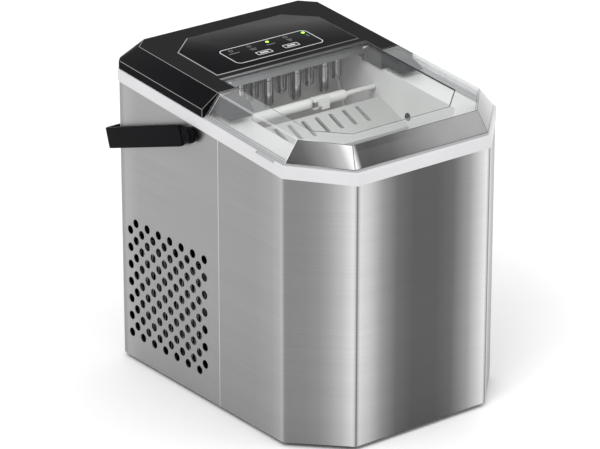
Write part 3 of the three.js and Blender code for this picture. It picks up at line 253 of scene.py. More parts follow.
@dataclass(frozen=True)
class PaintedReflectionChrome:
    """Bright plating on a round part, with upright dark and light stripes painted into its colour as painted
    reflections.

    The stripes follow the piece's own "turn" map, whose first coordinate is the turn about its axis.
    """

    name: str
    stripes: float = 5
    painted_reflection_tones: tuple[tuple[float, float], ...] = (
        (0.0, 0.02), (0.2, 0.03), (0.3, 0.85), (0.5, 0.9), (0.6, 0.2), (0.75, 0.6), (0.9, 0.05), (1.0, 0.02),
    )

    def make(self) -> bpy.types.Material:
        """Builds the material.

        Returns:
            The material.
        """
        graph = Graph(self.name)
        turn = graph.add("ShaderNodeUVMap", uv_map="turn").outputs[0]
        around = graph.add("ShaderNodeSeparateXYZ", {0: turn}).outputs[0]
        many = graph.add("ShaderNodeMath", {0: around, 1: self.stripes}, operation="MULTIPLY").outputs[0]
        part = graph.add("ShaderNodeMath", {0: many}, operation="FRACT").outputs[0]
        tone = graph.ramp(part, [(place, grey(value)) for place, value in self.painted_reflection_tones])
        graph.feed(tone, "Base Color")
        graph.feed(graph.span(graph.noise(300), 0.08, 0.16), "Roughness")
        graph.shader.inputs["Metallic"].default_value = 1.0
        return graph.material


@dataclass(frozen=True)
class BrushedSheet:
    """Stainless sheet brushed level, with broad bands of painted reflection and highlight in its colour
    along its wrap.

    The painted bands follow the piece's own "wrap" map, whose first coordinate runs round the body.
    """

    name: str
    painted_light_bands: tuple[tuple[float, float], ...]
    roughness: float = 0.36

    def make(self) -> bpy.types.Material:
        """Builds the material.

        Returns:
            The material.
        """
        graph = Graph(self.name)
        wrap = graph.add("ShaderNodeUVMap", uv_map="wrap").outputs[0]
        along = graph.add("ShaderNodeSeparateXYZ", {0: wrap}).outputs[0]
        tone = graph.ramp(along, [(place, grey(value)) for place, value in self.painted_light_bands])
        fine = graph.noise(60, (0.12, 0.12, 22), detail=6)
        broad = graph.noise(9, (0.5, 0.5, 6), detail=3)
        tone = graph.times(tone, graph.ramp(fine, [(0.25, grey(0.9)), (0.75, grey(1.0))]))
        tone = graph.times(tone, graph.ramp(broad, [(0.3, grey(0.95)), (0.7, grey(1.0))]))
        graph.feed(tone, "Base Color")
        graph.feed(graph.span(fine, self.roughness * 0.8, self.roughness * 1.2), "Roughness")
        graph.bump(fine, 0.00001)
        shader = graph.shader
        shader.inputs["Metallic"].default_value = 1.0
        shader.inputs["Anisotropic"].default_value = 0.6
        shader.inputs["Anisotropic Rotation"].default_value = 0.25
        tangent = graph.add("ShaderNodeTangent", direction_type="RADIAL", axis="Z")
        graph.feed(tangent.outputs[0], "Tangent")
        return graph.material


@dataclass(frozen=True)
class ClearPlastic:
    """Clear moulding: mostly see-through, with a gloss that grows at a slant and a haze; a strong haze with
    painted bands makes a face a mostly opaque sheet of painted reflection and shade.
    """

    name: str
    tint: Colour
    haze_and_painted_sheen: float
    haze_and_sheen_colour: Colour = (0.8, 0.82, 0.83)
    gloss: float = 0.04
    shine: float = 0.07
    painted_light_bands: tuple[tuple[float, float], ...] = ()
    run: tuple[float, float, float] = (1, 0, 0)

    def make(self) -> bpy.types.Material:
        """Builds the material.

        Returns:
            The material.
        """
        graph = Graph(self.name)
        cloud = graph.noise(30, detail=3)
        low = tuple(c * 0.94 for c in self.haze_and_sheen_colour)
        colour = graph.ramp(cloud, [(0.3, low), (0.7, self.haze_and_sheen_colour)])
        share = graph.span(cloud, self.haze_and_painted_sheen * 0.9, self.haze_and_painted_sheen * 1.1)
        # Painted reflections and shade along a direction, multiplied into the haze colour.
        if self.painted_light_bands:
            colour = graph.times(colour, graph.along(self.run, self.painted_light_bands))
        graph.feed(colour, "Base Color")
        graph.shader.inputs["Roughness"].default_value = self.gloss
        clear = graph.add("ShaderNodeBsdfTransparent", {"Color": (*self.tint, 1)})
        shine = graph.add("ShaderNodeBsdfGlossy", {"Color": (1, 1, 1, 1), "Roughness": self.gloss})
        slant = graph.add("ShaderNodeLayerWeight", {"Blend": 0.5}).outputs["Facing"]
        shares = ((0.0, 0.03), (0.6, self.shine), (0.9, 0.5), (1.0, 1.0))
        shining = graph.ramp(slant, [(place, grey(value)) for place, value in shares])
        body = graph.add("ShaderNodeMixShader", {0: shining, 1: clear.outputs[0], 2: shine.outputs[0]})
        mixed = graph.add("ShaderNodeMixShader", {0: share, 1: body.outputs[0], 2: graph.shader.outputs[0]})
        output = graph.tree.nodes["Material Output"]
        graph.tree.links.new(mixed.outputs[0], output.inputs["Surface"])
        return graph.material


@dataclass(frozen=True)
class Lamp:
    """A small tinted window with a light behind it."""

    name: str
    colour: Colour
    strength: float

    def make(self) -> bpy.types.Material:
        """Builds the material.

        Returns:
            The material.
        """
        graph = Graph(self.name)
        cloud = graph.noise(500)
        dim = tuple(c * 0.8 for c in self.colour)
        tone = graph.ramp(cloud, [(0.3, dim), (0.7, self.colour)])
        graph.feed(tone, "Base Color")
        graph.feed(tone, "Emission Color")
        graph.shader.inputs["Emission Strength"].default_value = self.strength
        graph.shader.inputs["Roughness"].default_value = 0.25
        return graph.material


@dataclass(frozen=True)
class CircuitBoard:
    """Green board with paler tracks under its lacquer."""

    name: str

    def make(self) -> bpy.types.Material:
        """Builds the material.

        Returns:
            The material.
        """
        graph = Graph(self.name)
        inputs = {"Vector": graph.place, "Scale": 160}
        cells = graph.add("ShaderNodeTexVoronoi", inputs, distance="MANHATTAN").outputs[0]
        dark, track, lacquer = (0.01, 0.09, 0.035), (0.03, 0.22, 0.08), (0.01, 0.1, 0.04)
        tracks = graph.ramp(cells, [(0.25, dark), (0.42, track), (0.5, lacquer)])
        graph.feed(tracks, "Base Color")
        graph.feed(graph.span(graph.noise(80), 0.3, 0.5), "Roughness")
        return graph.material


# ---------------------------------------------------------------- mesh work


def new_verts(made: Sequence) -> list[bmesh.types.BMVert]:
    """The vertices among what an operator made."""
    return [v for v in made if isinstance(v, bmesh.types.BMVert)]


def stack(rings: Sequence[tuple[Plan, float]]) -> bmesh.types.BMesh:
    """A closed body through outlines of equal corner count, one over the other.

    Args:
        rings: Each outline, in metres, and its height.

    Returns:
        The body's mesh.
    """
    bm = bmesh.new()
    plan, height = rings[0]
    face = bm.faces.new([bm.verts.new((x, y, height)) for x, y in plan])
    for step, (next_plan, next_height) in enumerate(rings[1:]):
        under = face
        out = bmesh.ops.extrude_face_region(bm, geom=[under], use_keep_orig=True)["geom"]
        face = next(f for f in out if isinstance(f, bmesh.types.BMFace))
        if step:
            bmesh.ops.delete(bm, geom=[under], context="FACES_ONLY")
        for vert in new_verts(out):
            index = min(range(len(plan)), key=lambda i: math.dist(vert.co.xy, plan[i]))
            vert.co = (*next_plan[index], next_height)
        plan = next_plan
    bmesh.ops.recalc_face_normals(bm, faces=bm.faces)
    return bm


def block(low: Sequence[float], high: Sequence[float]) -> bmesh.types.BMesh:
    """A box between two corners, in metres.

    Args:
        low: Its low corner.
        high: Its high corner.

    Returns:
        The box's mesh.
    """
    bm = bmesh.new()
    bmesh.ops.create_cube(bm, size=1.0)
    size = [h - l for l, h in zip(low, high)]
    middle = [(h + l) / 2 for l, h in zip(low, high)]
    bmesh.ops.scale(bm, vec=size, verts=bm.verts)
    bmesh.ops.translate(bm, vec=middle, verts=bm.verts)
    return bm


def lathe(profile: Plan, steps: int = 48) -> bmesh.types.BMesh:
    """A round body about Z.

    Args:
        profile: Radius and height of each corner, in metres, from axis to axis.
        steps: Sides of the round.

    Returns:
        The body's mesh.
    """
    bm = bmesh.new()
    verts = [bm.verts.new((r, 0, z)) for r, z in profile]
    edges = [bm.edges.new(pair) for pair in zip(verts, verts[1:])]
    bmesh.ops.spin(
        bm, geom=verts + edges, cent=(0, 0, 0), axis=(0, 0, 1), dvec=(0, 0, 0),
        angle=2 * math.pi, steps=steps, use_merge=True, use_normal_flip=False, use_duplicate=False,
    )
    bmesh.ops.remove_doubles(bm, verts=bm.verts, dist=SAME)
    bmesh.ops.holes_fill(bm, edges=[e for e in bm.edges if e.is_boundary])
    bmesh.ops.recalc_face_normals(bm, faces=bm.faces)
    return bm


def join(*parts: bmesh.types.BMesh) -> bmesh.types.BMesh:
    """Several meshes as one, each still its own closed shell.

    Args:
        *parts: The meshes, used up here.

    Returns:
        One mesh that holds them all.
    """
    whole = bmesh.new()
    for part in parts:
        mesh = bpy.data.meshes.new("part")
        part.to_mesh(mesh)
        whole.from_mesh(mesh)
        part.free()
        bpy.data.meshes.remove(mesh)
    return whole


def turned(bm: bmesh.types.BMesh, matrix: Matrix) -> bmesh.types.BMesh:
    """The mesh moved by a matrix.

    Args:
        bm: The mesh.
        matrix: The move; a mirror in it keeps the faces pointing outwards.

    Returns:
        The same mesh.
    """
    bmesh.ops.transform(bm, matrix=matrix, verts=bm.verts)
    if matrix.determinant() < 0:
        bmesh.ops.reverse_faces(bm, faces=bm.faces)
    return bm


def round_edges(
    bm: bmesh.types.BMesh, width: float, segments: int = 2, pick: Callable | None = None
) -> bmesh.types.BMesh:
    """Rounds the sharp edges, or those that pick accepts.

    Args:
        bm: The mesh.
        width: Width of the round, in metres.
        segments: Steps across it.
        pick: Test of an edge; by default an edge turned by more than 25 degrees.

    Returns:
        The same mesh.
    """
    test = pick or (lambda e: len(e.link_faces) == 2 and e.calc_face_angle(0) > math.radians(25))
    bmesh.ops.bevel(
        bm, geom=[e for e in bm.edges if test(e)], offset=width, offset_type="OFFSET",
        segments=segments, profile=0.5, affect="EDGES", clamp_overlap=True, material=-1,
    )
    bmesh.ops.remove_doubles(bm, verts=bm.verts, dist=1e-7)
    bmesh.ops.dissolve_degenerate(bm, dist=1e-7, edges=bm.edges)
    return bm


def standing_at(low: Vector, high: Vector) -> Matrix:
    """Moves a body made about Z onto the foot of a box, in the middle of its plan."""
    return Matrix.Translation(((low.x + high.x) / 2, (low.y + high.y) / 2, low.z))


def lying_in(low: Vector, high: Vector) -> Matrix:
    """Lays a body made about Z along X, from a box's left end and about its middle line."""
    spot = Matrix.Translation((low.x, (low.y + high.y) / 2, (low.z + high.z) / 2))
    return spot @ TURN_TO_X


def upright(edge: bmesh.types.BMEdge) -> bool:
    """True for an edge that stands straight up."""
    a, b = (v.co for v in edge.verts)
    return abs(a.x - b.x) < 1e-7 and abs(a.y - b.y) < 1e-7


def carve(piece: bpy.types.Object, tool: bmesh.types.BMesh, operation: str = "DIFFERENCE") -> None:
    """Cuts a piece with a closed tool, or joins the tool to it.

    Args:
        piece: The piece to change.
        tool: The tool's mesh, used up here.
        operation: DIFFERENCE, UNION or INTERSECT.
    """
    mesh = bpy.data.meshes.new("tool")
    tool.to_mesh(mesh)
    tool.free()
    cutter = bpy.data.objects.new("tool", mesh)
    bpy.context.scene.collection.objects.link(cutter)
    modifier = piece.modifiers.new("cut", "BOOLEAN")
    modifier.object = cutter
    modifier.operation = operation
    modifier.solver = "EXACT"
    graph = bpy.context.evaluated_depsgraph_get()
    made = bpy.data.meshes.new_from_object(piece.evaluated_get(graph))
    bm = bmesh.new()
    bm.from_mesh(made)
    bmesh.ops.remove_doubles(bm, verts=bm.verts, dist=2e-6)
    bmesh.ops.dissolve_degenerate(bm, dist=1e-6, edges=bm.edges)
    bm.to_mesh(made)
    bm.free()
    piece.modifiers.remove(modifier)
    old = piece.data
    piece.data = made
    bpy.data.meshes.remove(old)
    bpy.data.objects.remove(cutter)
    bpy.data.meshes.remove(mesh)


def put(name: str, bm: bmesh.types.BMesh) -> bpy.types.Object:
    """Makes a mesh an object of the scene, at the origin.

    Args:
        name: Name of the object and of its mesh.
        bm: The mesh, used up here.

    Returns:
        The object.
    """
    mesh = bpy.data.meshes.new(name)
    bm.to_mesh(mesh)
    bm.free()
    made = bpy.data.objects.new(name, mesh)
    bpy.context.scene.collection.objects.link(made)
    return made


def dress(
    piece: bpy.types.Object, body: str, finishes: Sequence, stands_for: Sequence[str] = (),
    rounding: float = 0.0, crease: float = 32, edge_finish: int = -1, segments: int = 2,
) -> bpy.types.Object:
    """Gives a piece its finish, its smooth shading and the body it rides on.

    Args:
        piece: The finished mesh object.
        body: Name of the CAD body.
        finishes: Finish of each material slot of the mesh, in order.
        stands_for: CAD nodes that it replaces.
        rounding: Width of a live Bevel on its sharp edges, in metres; none when 0.
        crease: Edges sharper than this many degrees stay sharp in shading.
        edge_finish: Number of the finish that the rounded edges take, or -1.
        segments: Steps across the rounding.

    Returns:
        The piece.
    """
    zones = [polygon.material_index for polygon in piece.data.polygons]
    piece.data.materials.clear()
    for finish in finishes:
        piece.data.materials.append(shared(finish))
    piece.data.polygons.foreach_set("material_index", zones)
    piece.data.polygons.foreach_set("use_smooth", [True] * len(piece.data.polygons))
    piece.data.set_sharp_from_angle(angle=math.radians(crease))
    if rounding:
        bevel = piece.modifiers.new("edge", "BEVEL")
        bevel.width = rounding
        bevel.segments = segments
        bevel.limit_method = "ANGLE"
        bevel.angle_limit = math.radians(28)
        bevel.material = edge_finish
        bevel.harden_normals = True
    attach(piece, body)
    if stands_for:
        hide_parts(*stands_for)
    LOG.info("%s rides on %s", piece.name, body)
    return piece


MADE: dict[str, bpy.types.Material] = {}


def shared(finish: object) -> bpy.types.Material:
    """The material of a finish, made once.

    Args:
        finish: Any of the finishes.

    Returns:
        The material.
    """
    if finish.name not in MADE:
        MADE[finish.name] = finish.make()
    return MADE[finish.name]


# ---------------------------------------------------------------- finishes

# Painted reflections and highlights in the colour, round the front half of the wrap, from the left seam:
# side, corner face, front, corner face, side.
FRONT_PAINTED_REFLECTIONS = (
    (0.0, 0.33), (0.11, 0.325), (0.165, 0.36), (0.19, 0.42), (0.197, 0.50), (0.203, 0.24), (0.21, 0.225),
    (0.245, 0.235), (0.27, 0.27), (0.29, 0.35), (0.312, 0.48), (0.33, 0.66), (0.335, 0.70), (0.340, 0.12),
    (0.345, 0.68), (0.37, 0.54), (0.40, 0.29), (0.435, 0.145), (0.475, 0.105), (0.53, 0.105), (0.57, 0.14),
    (0.61, 0.32), (0.64, 0.62), (0.654, 0.78), (0.660, 0.12), (0.668, 0.68), (0.70, 0.40), (0.76, 0.23),
    (0.797, 0.225), (0.803, 0.48), (0.84, 0.35), (1.0, 0.33),
)
# Painted reflections round the rear half, from the right seam to the left seam, with light and dark bands at
# its rounded rear corners.
REAR_PAINTED_REFLECTIONS = (
    (0.0, 0.345), (0.12, 0.35), (0.22, 0.36), (0.258, 0.42), (0.272, 0.26), (0.29, 0.30), (0.4, 0.42),
    (0.5, 0.46), (0.6, 0.42), (0.71, 0.30), (0.728, 0.26), (0.742, 0.42), (0.78, 0.36), (0.88, 0.35),
    (1.0, 0.345),
)
FRONT_STEEL = BrushedSheet("front_steel", FRONT_PAINTED_REFLECTIONS)
REAR_STEEL = BrushedSheet("rear_steel", REAR_PAINTED_REFLECTIONS)
SILVER_RIM = Moulding("silver_rim", (0.56, 0.56, 0.57), 0.32, grain=2200, depth=0.000006, mottle=0.03)
SEAT_GREY = Moulding("seat_grey", (0.36, 0.36, 0.37), 0.35, grain=2200, depth=0.000006, mottle=0.03)
GLOSS_BLACK = Moulding("gloss_black", (0.006, 0.006, 0.007), 0.12, grain=900, depth=0.000002, index=1.075)
PANEL_BLACK = Moulding("panel_black", (0.006, 0.006, 0.007), 0.06, grain=700, depth=0.000001, index=1.06)
# The cover's grey face and the latch strips: painted shade, light on the left and dark on the right.
COVER_GREY_PAINTED_SHADE = Moulding(
    "cover_grey_painted_shade", (0.4, 0.405, 0.42), 0.4, grain=1500, depth=0.000005,
    painted_light_and_shade=((0.2, 1.0), (0.45, 0.6), (0.76, 0.2), (1.0, 0.2)),
)
# Painted highlight: a lighter grey on the rounded and sloping edges of the black cover and plate, bright on
# the left and fading to the right.
PAINTED_EDGE_HIGHLIGHT = Moulding(
    "painted_edge_highlight", (0.30, 0.29, 0.29), 0.25, depth=0.000002,
    painted_light_and_shade=((0.0, 1.0), (0.3, 0.8), (0.5, 0.35), (1.0, 0.2)),
)
SATIN_BLACK = Moulding("satin_black", (0.005, 0.005, 0.006), 0.42, grain=1600, depth=0.000012, index=1.08)
DARK_GREY = Moulding("dark_grey", (0.018, 0.019, 0.024), 0.4, grain=1500, depth=0.00001, index=1.2)
WHITE = Moulding("white_moulding", (0.78, 0.78, 0.76), 0.38, grain=900, depth=0.000006, mottle=0.03)
# Painted shade: the ramp's white plastic made darker than the other white parts.
RAMP_WHITE_PAINTED_SHADE = Moulding("ramp_white_painted_shade", (0.52, 0.52, 0.51), 0.36, grain=900, depth=0.000006, mottle=0.05)
# Painted light: the liner's white made brighter to lift the shaded inside of the tank.
LINER_WHITE_PAINTED_LIGHT = Moulding("liner_white_painted_light", (0.84, 0.84, 0.83), 0.3, grain=500, depth=0.000008, mottle=0.04)
RUBBER = Moulding("rubber", (0.012, 0.012, 0.012), 0.75, grain=1100, depth=0.00003)
HOSE = Moulding("silicone_hose", (0.62, 0.64, 0.63), 0.45, grain=700)
INK = Moulding("light_ink", (0.62, 0.62, 0.63), 0.5, grain=900, depth=0.000002, mottle=0.12)
FAINT_INK = Moulding("faint_ink", (0.085, 0.085, 0.09), 0.5, grain=900, depth=0.000002, mottle=0.2)
# Painted shade: a dark line round the sunk window, lighter on the left.
PAINTED_SHADE_LINE = Moulding(
    "painted_shade_line", (0.4, 0.4, 0.4), 0.4, depth=0.000002,
    painted_light_and_shade=((0.0, 0.5), (0.25, 0.4), (0.45, 0.06), (1.0, 0.03)),
)
LENS_DARK = Moulding("dark_lens", (0.02, 0.022, 0.02), 0.2, grain=900, depth=0.000002)
CHROME = PaintedReflectionChrome("plated_finger")
# Painted highlight: the seam's folded edge is a brighter steel than the sheet round it.
SEAM_STEEL_PAINTED_HIGHLIGHT = BareMetal("seam_steel_painted_highlight", (0.62, 0.62, 0.63), 0.4, (1, 1, 0.1), 200)
ALUMINIUM = BareMetal("aluminium", (0.66, 0.67, 0.68), 0.32, (1, 1, 14), 120)
COPPER = BareMetal("copper", (0.72, 0.36, 0.22), 0.3)
COMPRESSOR_PAINT = Moulding("compressor_paint", (0.014, 0.014, 0.015), 0.35, grain=240, depth=0.00004)
BOARD = CircuitBoard("circuit_board")
LIT = Lamp("green_light", (0.42, 1.0, 0.06), 2.2)
LID_CLEAR = ClearPlastic("lid_clear", (0.97, 0.975, 0.975), 0.012, shine=0.025)
LID_BORDER = ClearPlastic("lid_border", (0.90, 0.91, 0.91), 0.19, (0.66, 0.67, 0.68), shine=0.04)
# The lid's rounded edges, front face and front corner faces: painted reflections and highlights, as a mostly
# opaque haze with bands along X. Its sloping sides: painted shade, darker towards the rear.
LID_EDGE_PAINTED_REFLECTION = ClearPlastic(
    "lid_edge_painted_reflection", (0.5, 0.52, 0.53), 0.8, (1, 1, 1), 0.1,
    painted_light_bands=((0.0, 0.8), (0.2, 0.8), (0.235, 0.05), (0.7, 0.04), (1.0, 0.06)),
)
LID_FRONT_PAINTED_REFLECTION = ClearPlastic(
    "lid_front_painted_reflection", (0.55, 0.56, 0.57), 0.93, (1, 1, 1), 0.12,
    painted_light_bands=((0.0, 0.3), (0.266, 0.5), (0.276, 0.8), (0.292, 0.045), (0.33, 0.035), (0.40, 0.06), (0.46, 0.13),
           (0.56, 0.24), (0.7, 0.30), (1.0, 0.3)),
)
LID_CORNER_PAINTED_REFLECTION = ClearPlastic(
    "lid_corner_painted_reflection", (0.6, 0.61, 0.62), 0.92, (1, 1, 1), 0.12,
    painted_light_bands=((0.0, 0.02), (0.14, 0.02), (0.18, 0.06), (0.225, 0.2), (0.255, 0.4), (0.268, 0.75), (0.72, 0.26),
           (0.78, 0.36), (0.86, 0.6), (1.0, 0.6)),
)
LID_SIDE_PAINTED_SHADE = ClearPlastic(
    "lid_side_painted_shade", (0.93, 0.935, 0.935), 0.06, (0.85, 0.86, 0.87), 0.08, shine=0.05,
    painted_light_bands=((0.0, 1.0), (0.16, 1.0), (0.3, 0.8), (1.0, 0.7)), run=(0, 1, 0),
)


# ---------------------------------------------------------------- body lay-out


@dataclass
class Layout:
    """Where things are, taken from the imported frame."""

    slope: float = 0.0745
    overhang: float = 0.7
    side: float = field(init=False)
    front: float = field(init=False)
    rear: float = field(init=False)
    foot: float = field(init=False)
    chamfer_x: float = 42.6
    chamfer_y: float = 43.4

    def __post_init__(self) -> None:
        """Reads the body's box."""
        low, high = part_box("front_shell")
        self.side, self.front, self.foot = high.x, low.y, low.z
        self.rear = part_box("rear_shell")[1].y

    def back(self, depth: float) -> float:
        """Y in metres of a depth in millimetres behind the front."""
        return self.front + depth * MM

    def lean(self) -> Matrix:
        """Moves a mesh whose heights count from the deck onto the sloping deck.

        Returns:
            The move, a shear along Z.
        """
        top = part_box("top_rim")[1]
        matrix = Matrix.Identity(4)
        matrix[2][1] = self.slope
        matrix[2][3] = top.z - self.slope * top.y
        return matrix

    def deck(self, y: float) -> float:
        """Height of the deck at a world Y, in metres."""
        return (self.lean() @ Vector((0, y, 0))).z

    def outline(self, inset: float, rear_cut: float = 0.0) -> list[tuple[float, float]]:
        """The body's plan moved inwards, anticlockwise from its front left bend.

        Args:
            inset: Distance in millimetres; outwards when negative.
            rear_cut: Cut off each rear corner, in millimetres; none when 0.

        Returns:
            Its corners in metres.
        """
        d = inset * MM
        x, y0, y1 = self.side - d, self.front + d, self.rear - d
        angle = math.atan2(self.chamfer_y, self.chamfer_x)
        lean_x = math.tan(angle / 2) * d
        lean_y = math.tan((math.pi / 2 - angle) / 2) * d
        bend_x = self.side - self.chamfer_x * MM - lean_x
        bend_y = self.front + self.chamfer_y * MM + lean_y
        points = [(-bend_x, y0), (bend_x, y0), (x, bend_y)]
        c = rear_cut * MM
        points += [(x, y1 - c), (x - c, y1), (-x + c, y1), (-x, y1 - c)] if c else [(x, y1), (-x, y1)]
        return points + [(-x, bend_y)]


LAY = Layout()


def octagon(x: float, front: float, rear: float, cut_x: float, cut_y: float) -> list[tuple[float, float]]:
    """A plan with cut front corners, sizes in millimetres and depths from the front.

    Args:
        x: Half its width.
        front: Depth of its front edge.
        rear: Depth of its rear edge.
        cut_x: Corner cut along the front.
        cut_y: Corner cut along the side.

    Returns:
        Its corners in metres.
    """
    y0, y1 = LAY.back(front), LAY.back(rear)
    x, cx, cy = x * MM, cut_x * MM, cut_y * MM
    return [(-x + cx, y0), (x - cx, y0), (x, y0 + cy), (x, y1), (-x, y1), (-x, y0 + cy)]


def on_deck(bm: bmesh.types.BMesh) -> bmesh.types.BMesh:
    """A mesh in deck heights, leant onto the deck."""
    return turned(bm, LAY.lean())


def deck_block(low: Sequence[float], high: Sequence[float]) -> bmesh.types.BMesh:
    """A box on the deck, in millimetres: x, depth from the front, height over the deck.

    Args:
        low: Its low corner.
        high: Its high corner.

    Returns:
        The box's mesh.
    """
    a = (low[0] * MM, LAY.back(low[1]), low[2] * MM)
    b = (high[0] * MM, LAY.back(high[1]), high[2] * MM)
    return on_deck(block(a, b))


# ---------------------------------------------------------------- housing


@dataclass
class SteelWrap:
    """The brushed sheet round the body: a front half and a rear half that carries the vents."""

    sheet: float = 1.0
    rim: float = 10.9
    seam: float = 130.3
    gap: float = 0.5
    bend: float = 1.26
    rear_bend: float = 9.0
    bow: float = 0.5
    columns: int = 14
    holes: int = 7
    column_pitch: float = 8.2
    hole_pitch: float = 16.0
    stagger: float = 8.0
    radius: float = 3.9
    first_column: float = 18.5
    lowest_hole: float = 27.4
    inlet_inset: float = 4.3
    drain_gap: float = 0.3
    bead_half: float = 0.45

    def wall(self, path: Plan) -> bmesh.types.BMesh:
        """A sheet standing on an open path, bent at the path's corners and cut by the deck.

        Args:
            path: The path's corners, in metres.

        Returns:
            The sheet's mesh, with no thickness yet.
        """
        bm = bmesh.new()
        verts = [bm.verts.new((x, y, LAY.foot)) for x, y in path]
        edges = [bm.edges.new(pair) for pair in zip(verts, verts[1:])]
        out = bmesh.ops.extrude_edge_only(bm, edges=edges)["geom"]
        bmesh.ops.translate(bm, vec=(0, 0, UNCUT_HEIGHT), verts=new_verts(out))
        return bm

    def trim(self, bm: bmesh.types.BMesh) -> None:
        """Cuts the sheet's top along the rim's underside.

        Args:
            bm: The sheet's mesh.
        """
        level = LAY.deck(0) - self.rim * MM
        bmesh.ops.bisect_plane(
            bm, geom=bm.verts[:] + bm.edges[:] + bm.faces[:], plane_co=(0, 0, level),
            plane_no=(0, -LAY.slope, 1), clear_outer=True,
        )

    def map_wrap(self, bm: bmesh.types.BMesh, path: Plan) -> None:
        """Writes the wrap map: the share of the way round, and the height.

        Args:
            bm: The sheet's mesh.
            path: The path that it stands on, in metres.
        """
        steps = [math.dist(a, b) for a, b in zip(path, path[1:])]
        layer = bm.loops.layers.uv.new("wrap")
        for face in bm.faces:
            for loop in face.loops:
                spot = Vector((loop.vert.co.x, loop.vert.co.y))
                best, share, run = 1e9, 0.0, 0.0
                for a, b, step in zip(path, path[1:], steps):
                    start, along = Vector(a), (Vector(b) - Vector(a)) / step
                    reach = min(max((spot - start).dot(along), 0), step)
                    away = (start + along * reach - spot).length
                    if away < best:
                        best, share = away, run + reach
                    run += step
                loop[layer].uv = (share / run, loop.vert.co.z)

    def thicken(self, bm: bmesh.types.BMesh) -> None:
        """Gives the sheet its thickness, inwards.

        Args:
            bm: The sheet's mesh.
        """
        bmesh.ops.recalc_face_normals(bm, faces=bm.faces)
        middle = sum((f.calc_center_median() for f in bm.faces), Vector()) / len(bm.faces)
        outward = sum(f.normal.dot(f.calc_center_median() - Vector((0, 0, middle.z))) for f in bm.faces)
        if outward < 0:
            bmesh.ops.reverse_faces(bm, faces=bm.faces)
        bmesh.ops.solidify(bm, geom=bm.faces[:], thickness=self.sheet * MM)
        bmesh.ops.recalc_face_normals(bm, faces=bm.faces)

    def front_half(self) -> bpy.types.Object:
        """The front sheet, with its two bent corner faces.

        Returns:
            The dressed piece.
        """
        plan = LAY.outline(0)
        seam = LAY.back(self.seam) - self.gap / 2 * MM
        left, right, corner_right, corner_left = plan[0], plan[1], plan[2], plan[-1]
        path = [(-LAY.side, seam), corner_left, left, right, corner_right, (LAY.side, seam)]
        bm = self.wall(path)
        face = [e for e in bm.edges
                if not upright(e) and all(abs(v.co.y - LAY.front) < SAME for v in e.verts)]
        bmesh.ops.subdivide_edges(bm, edges=face, cuts=15, use_grid_fill=True)
        half = abs(left[0])
        for vert in bm.verts:
            if abs(vert.co.y - LAY.front) < SAME and abs(vert.co.x) < half - SAME:
                vert.co.y -= self.bow * MM * (1 - (vert.co.x / half) ** 2)
        round_edges(
            bm, self.bend * MM, 4,
            lambda e: upright(e) and any(math.dist(e.verts[0].co.xy, bend) < 1e-5 for bend in path[1:-1]),
        )
        self.trim(bm)
        self.thicken(bm)
        self.map_wrap(bm, path)
        piece = put("front_panel", bm)
        carve(piece, self.drain_hole())
        return dress(piece, "housing", [FRONT_STEEL], ["front_shell"], crease=20)

    def drain_hole(self) -> bmesh.types.BMesh:
        """A round cutter where the drain comes through the right side.

        Returns:
            The cutter's mesh.
        """
        low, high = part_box("drain_tube")
        r, length = (high.y - low.y) / 2 + self.drain_gap * MM, 20 * MM
        cutter = lathe([(0, 0), (r, 0), (r, length), (0, length)], 32)
        spot = Matrix.Translation((LAY.side - length / 2, (low.y + high.y) / 2, (low.z + high.z) / 2))
        return turned(cutter, spot @ TURN_TO_X)

    def rear_half(self) -> bpy.types.Object:
        """The rear sheet with its vents and the opening for the power inlet.

        Returns:
            The dressed piece.
        """
        seam = LAY.back(self.seam) + self.gap / 2 * MM
        path = [(LAY.side, seam), (LAY.side, LAY.rear), (-LAY.side, LAY.rear), (-LAY.side, seam)]
        bm = self.wall(path)
        round_edges(
            bm, self.rear_bend * MM, 8, lambda e: upright(e) and abs(e.verts[0].co.y - LAY.rear) < SAME
        )
        self.trim(bm)
        self.thicken(bm)
        self.map_wrap(bm, path)
        piece = put("rear_panel", bm)
        low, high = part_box("power_inlet")
        inset = Vector((self.inlet_inset * MM, 0, self.inlet_inset * MM))
        low, high = low + inset, high - inset
        opening = block((low.x, LAY.rear - 0.005, low.z), (high.x, LAY.rear + 0.005, high.z))
        carve(piece, join(self.vents(), opening))
        return dress(piece, "housing", [REAR_STEEL], ["rear_shell"], crease=20)

    def vents(self) -> bmesh.types.BMesh:
        """Round cutters through both sides, in staggered columns.

        Returns:
            The cutters as one mesh.
        """
        bm = bmesh.new()
        for column in range(self.columns):
            y = LAY.rear - (self.first_column + column * self.column_pitch) * MM
            lift = self.lowest_hole + (column % 2) * self.stagger
            for hole in range(self.holes):
                spot = Matrix.Translation((0, y, (lift + hole * self.hole_pitch) * MM))
                bmesh.ops.create_cone(
                    bm, cap_ends=True, segments=20, radius1=self.radius * MM, radius2=self.radius * MM,
                    depth=2 * LAY.side + 0.01, matrix=spot @ TURN_TO_X,
                )
        return bm

    def bead(self, side: Side) -> None:
        """Makes the folded edge along one side's seam, brighter than the sheet as a painted highlight.

        Args:
            side: The side that it is on.
        """
        y, half = LAY.back(self.seam), self.bead_half * MM
        x0, x1 = sorted((side.value * (LAY.side - 0.4 * MM), side.value * (LAY.side + 0.08 * MM)))
        bm = block((x0, y - half, LAY.foot), (x1, y + half, UNCUT_HEIGHT))
        self.trim(bm)
        bmesh.ops.holes_fill(bm, edges=[e for e in bm.edges if e.is_boundary])
        bmesh.ops.recalc_face_normals(bm, faces=bm.faces)
        dress(put(f"seam_bead_{side.name.lower()}", bm), "housing", [SEAM_STEEL_PAINTED_HIGHLIGHT])

    def build(self) -> None:
        """Makes both halves and the edge between them."""
        self.front_half()
        self.rear_half()
        for side in Side:
            self.bead(side)


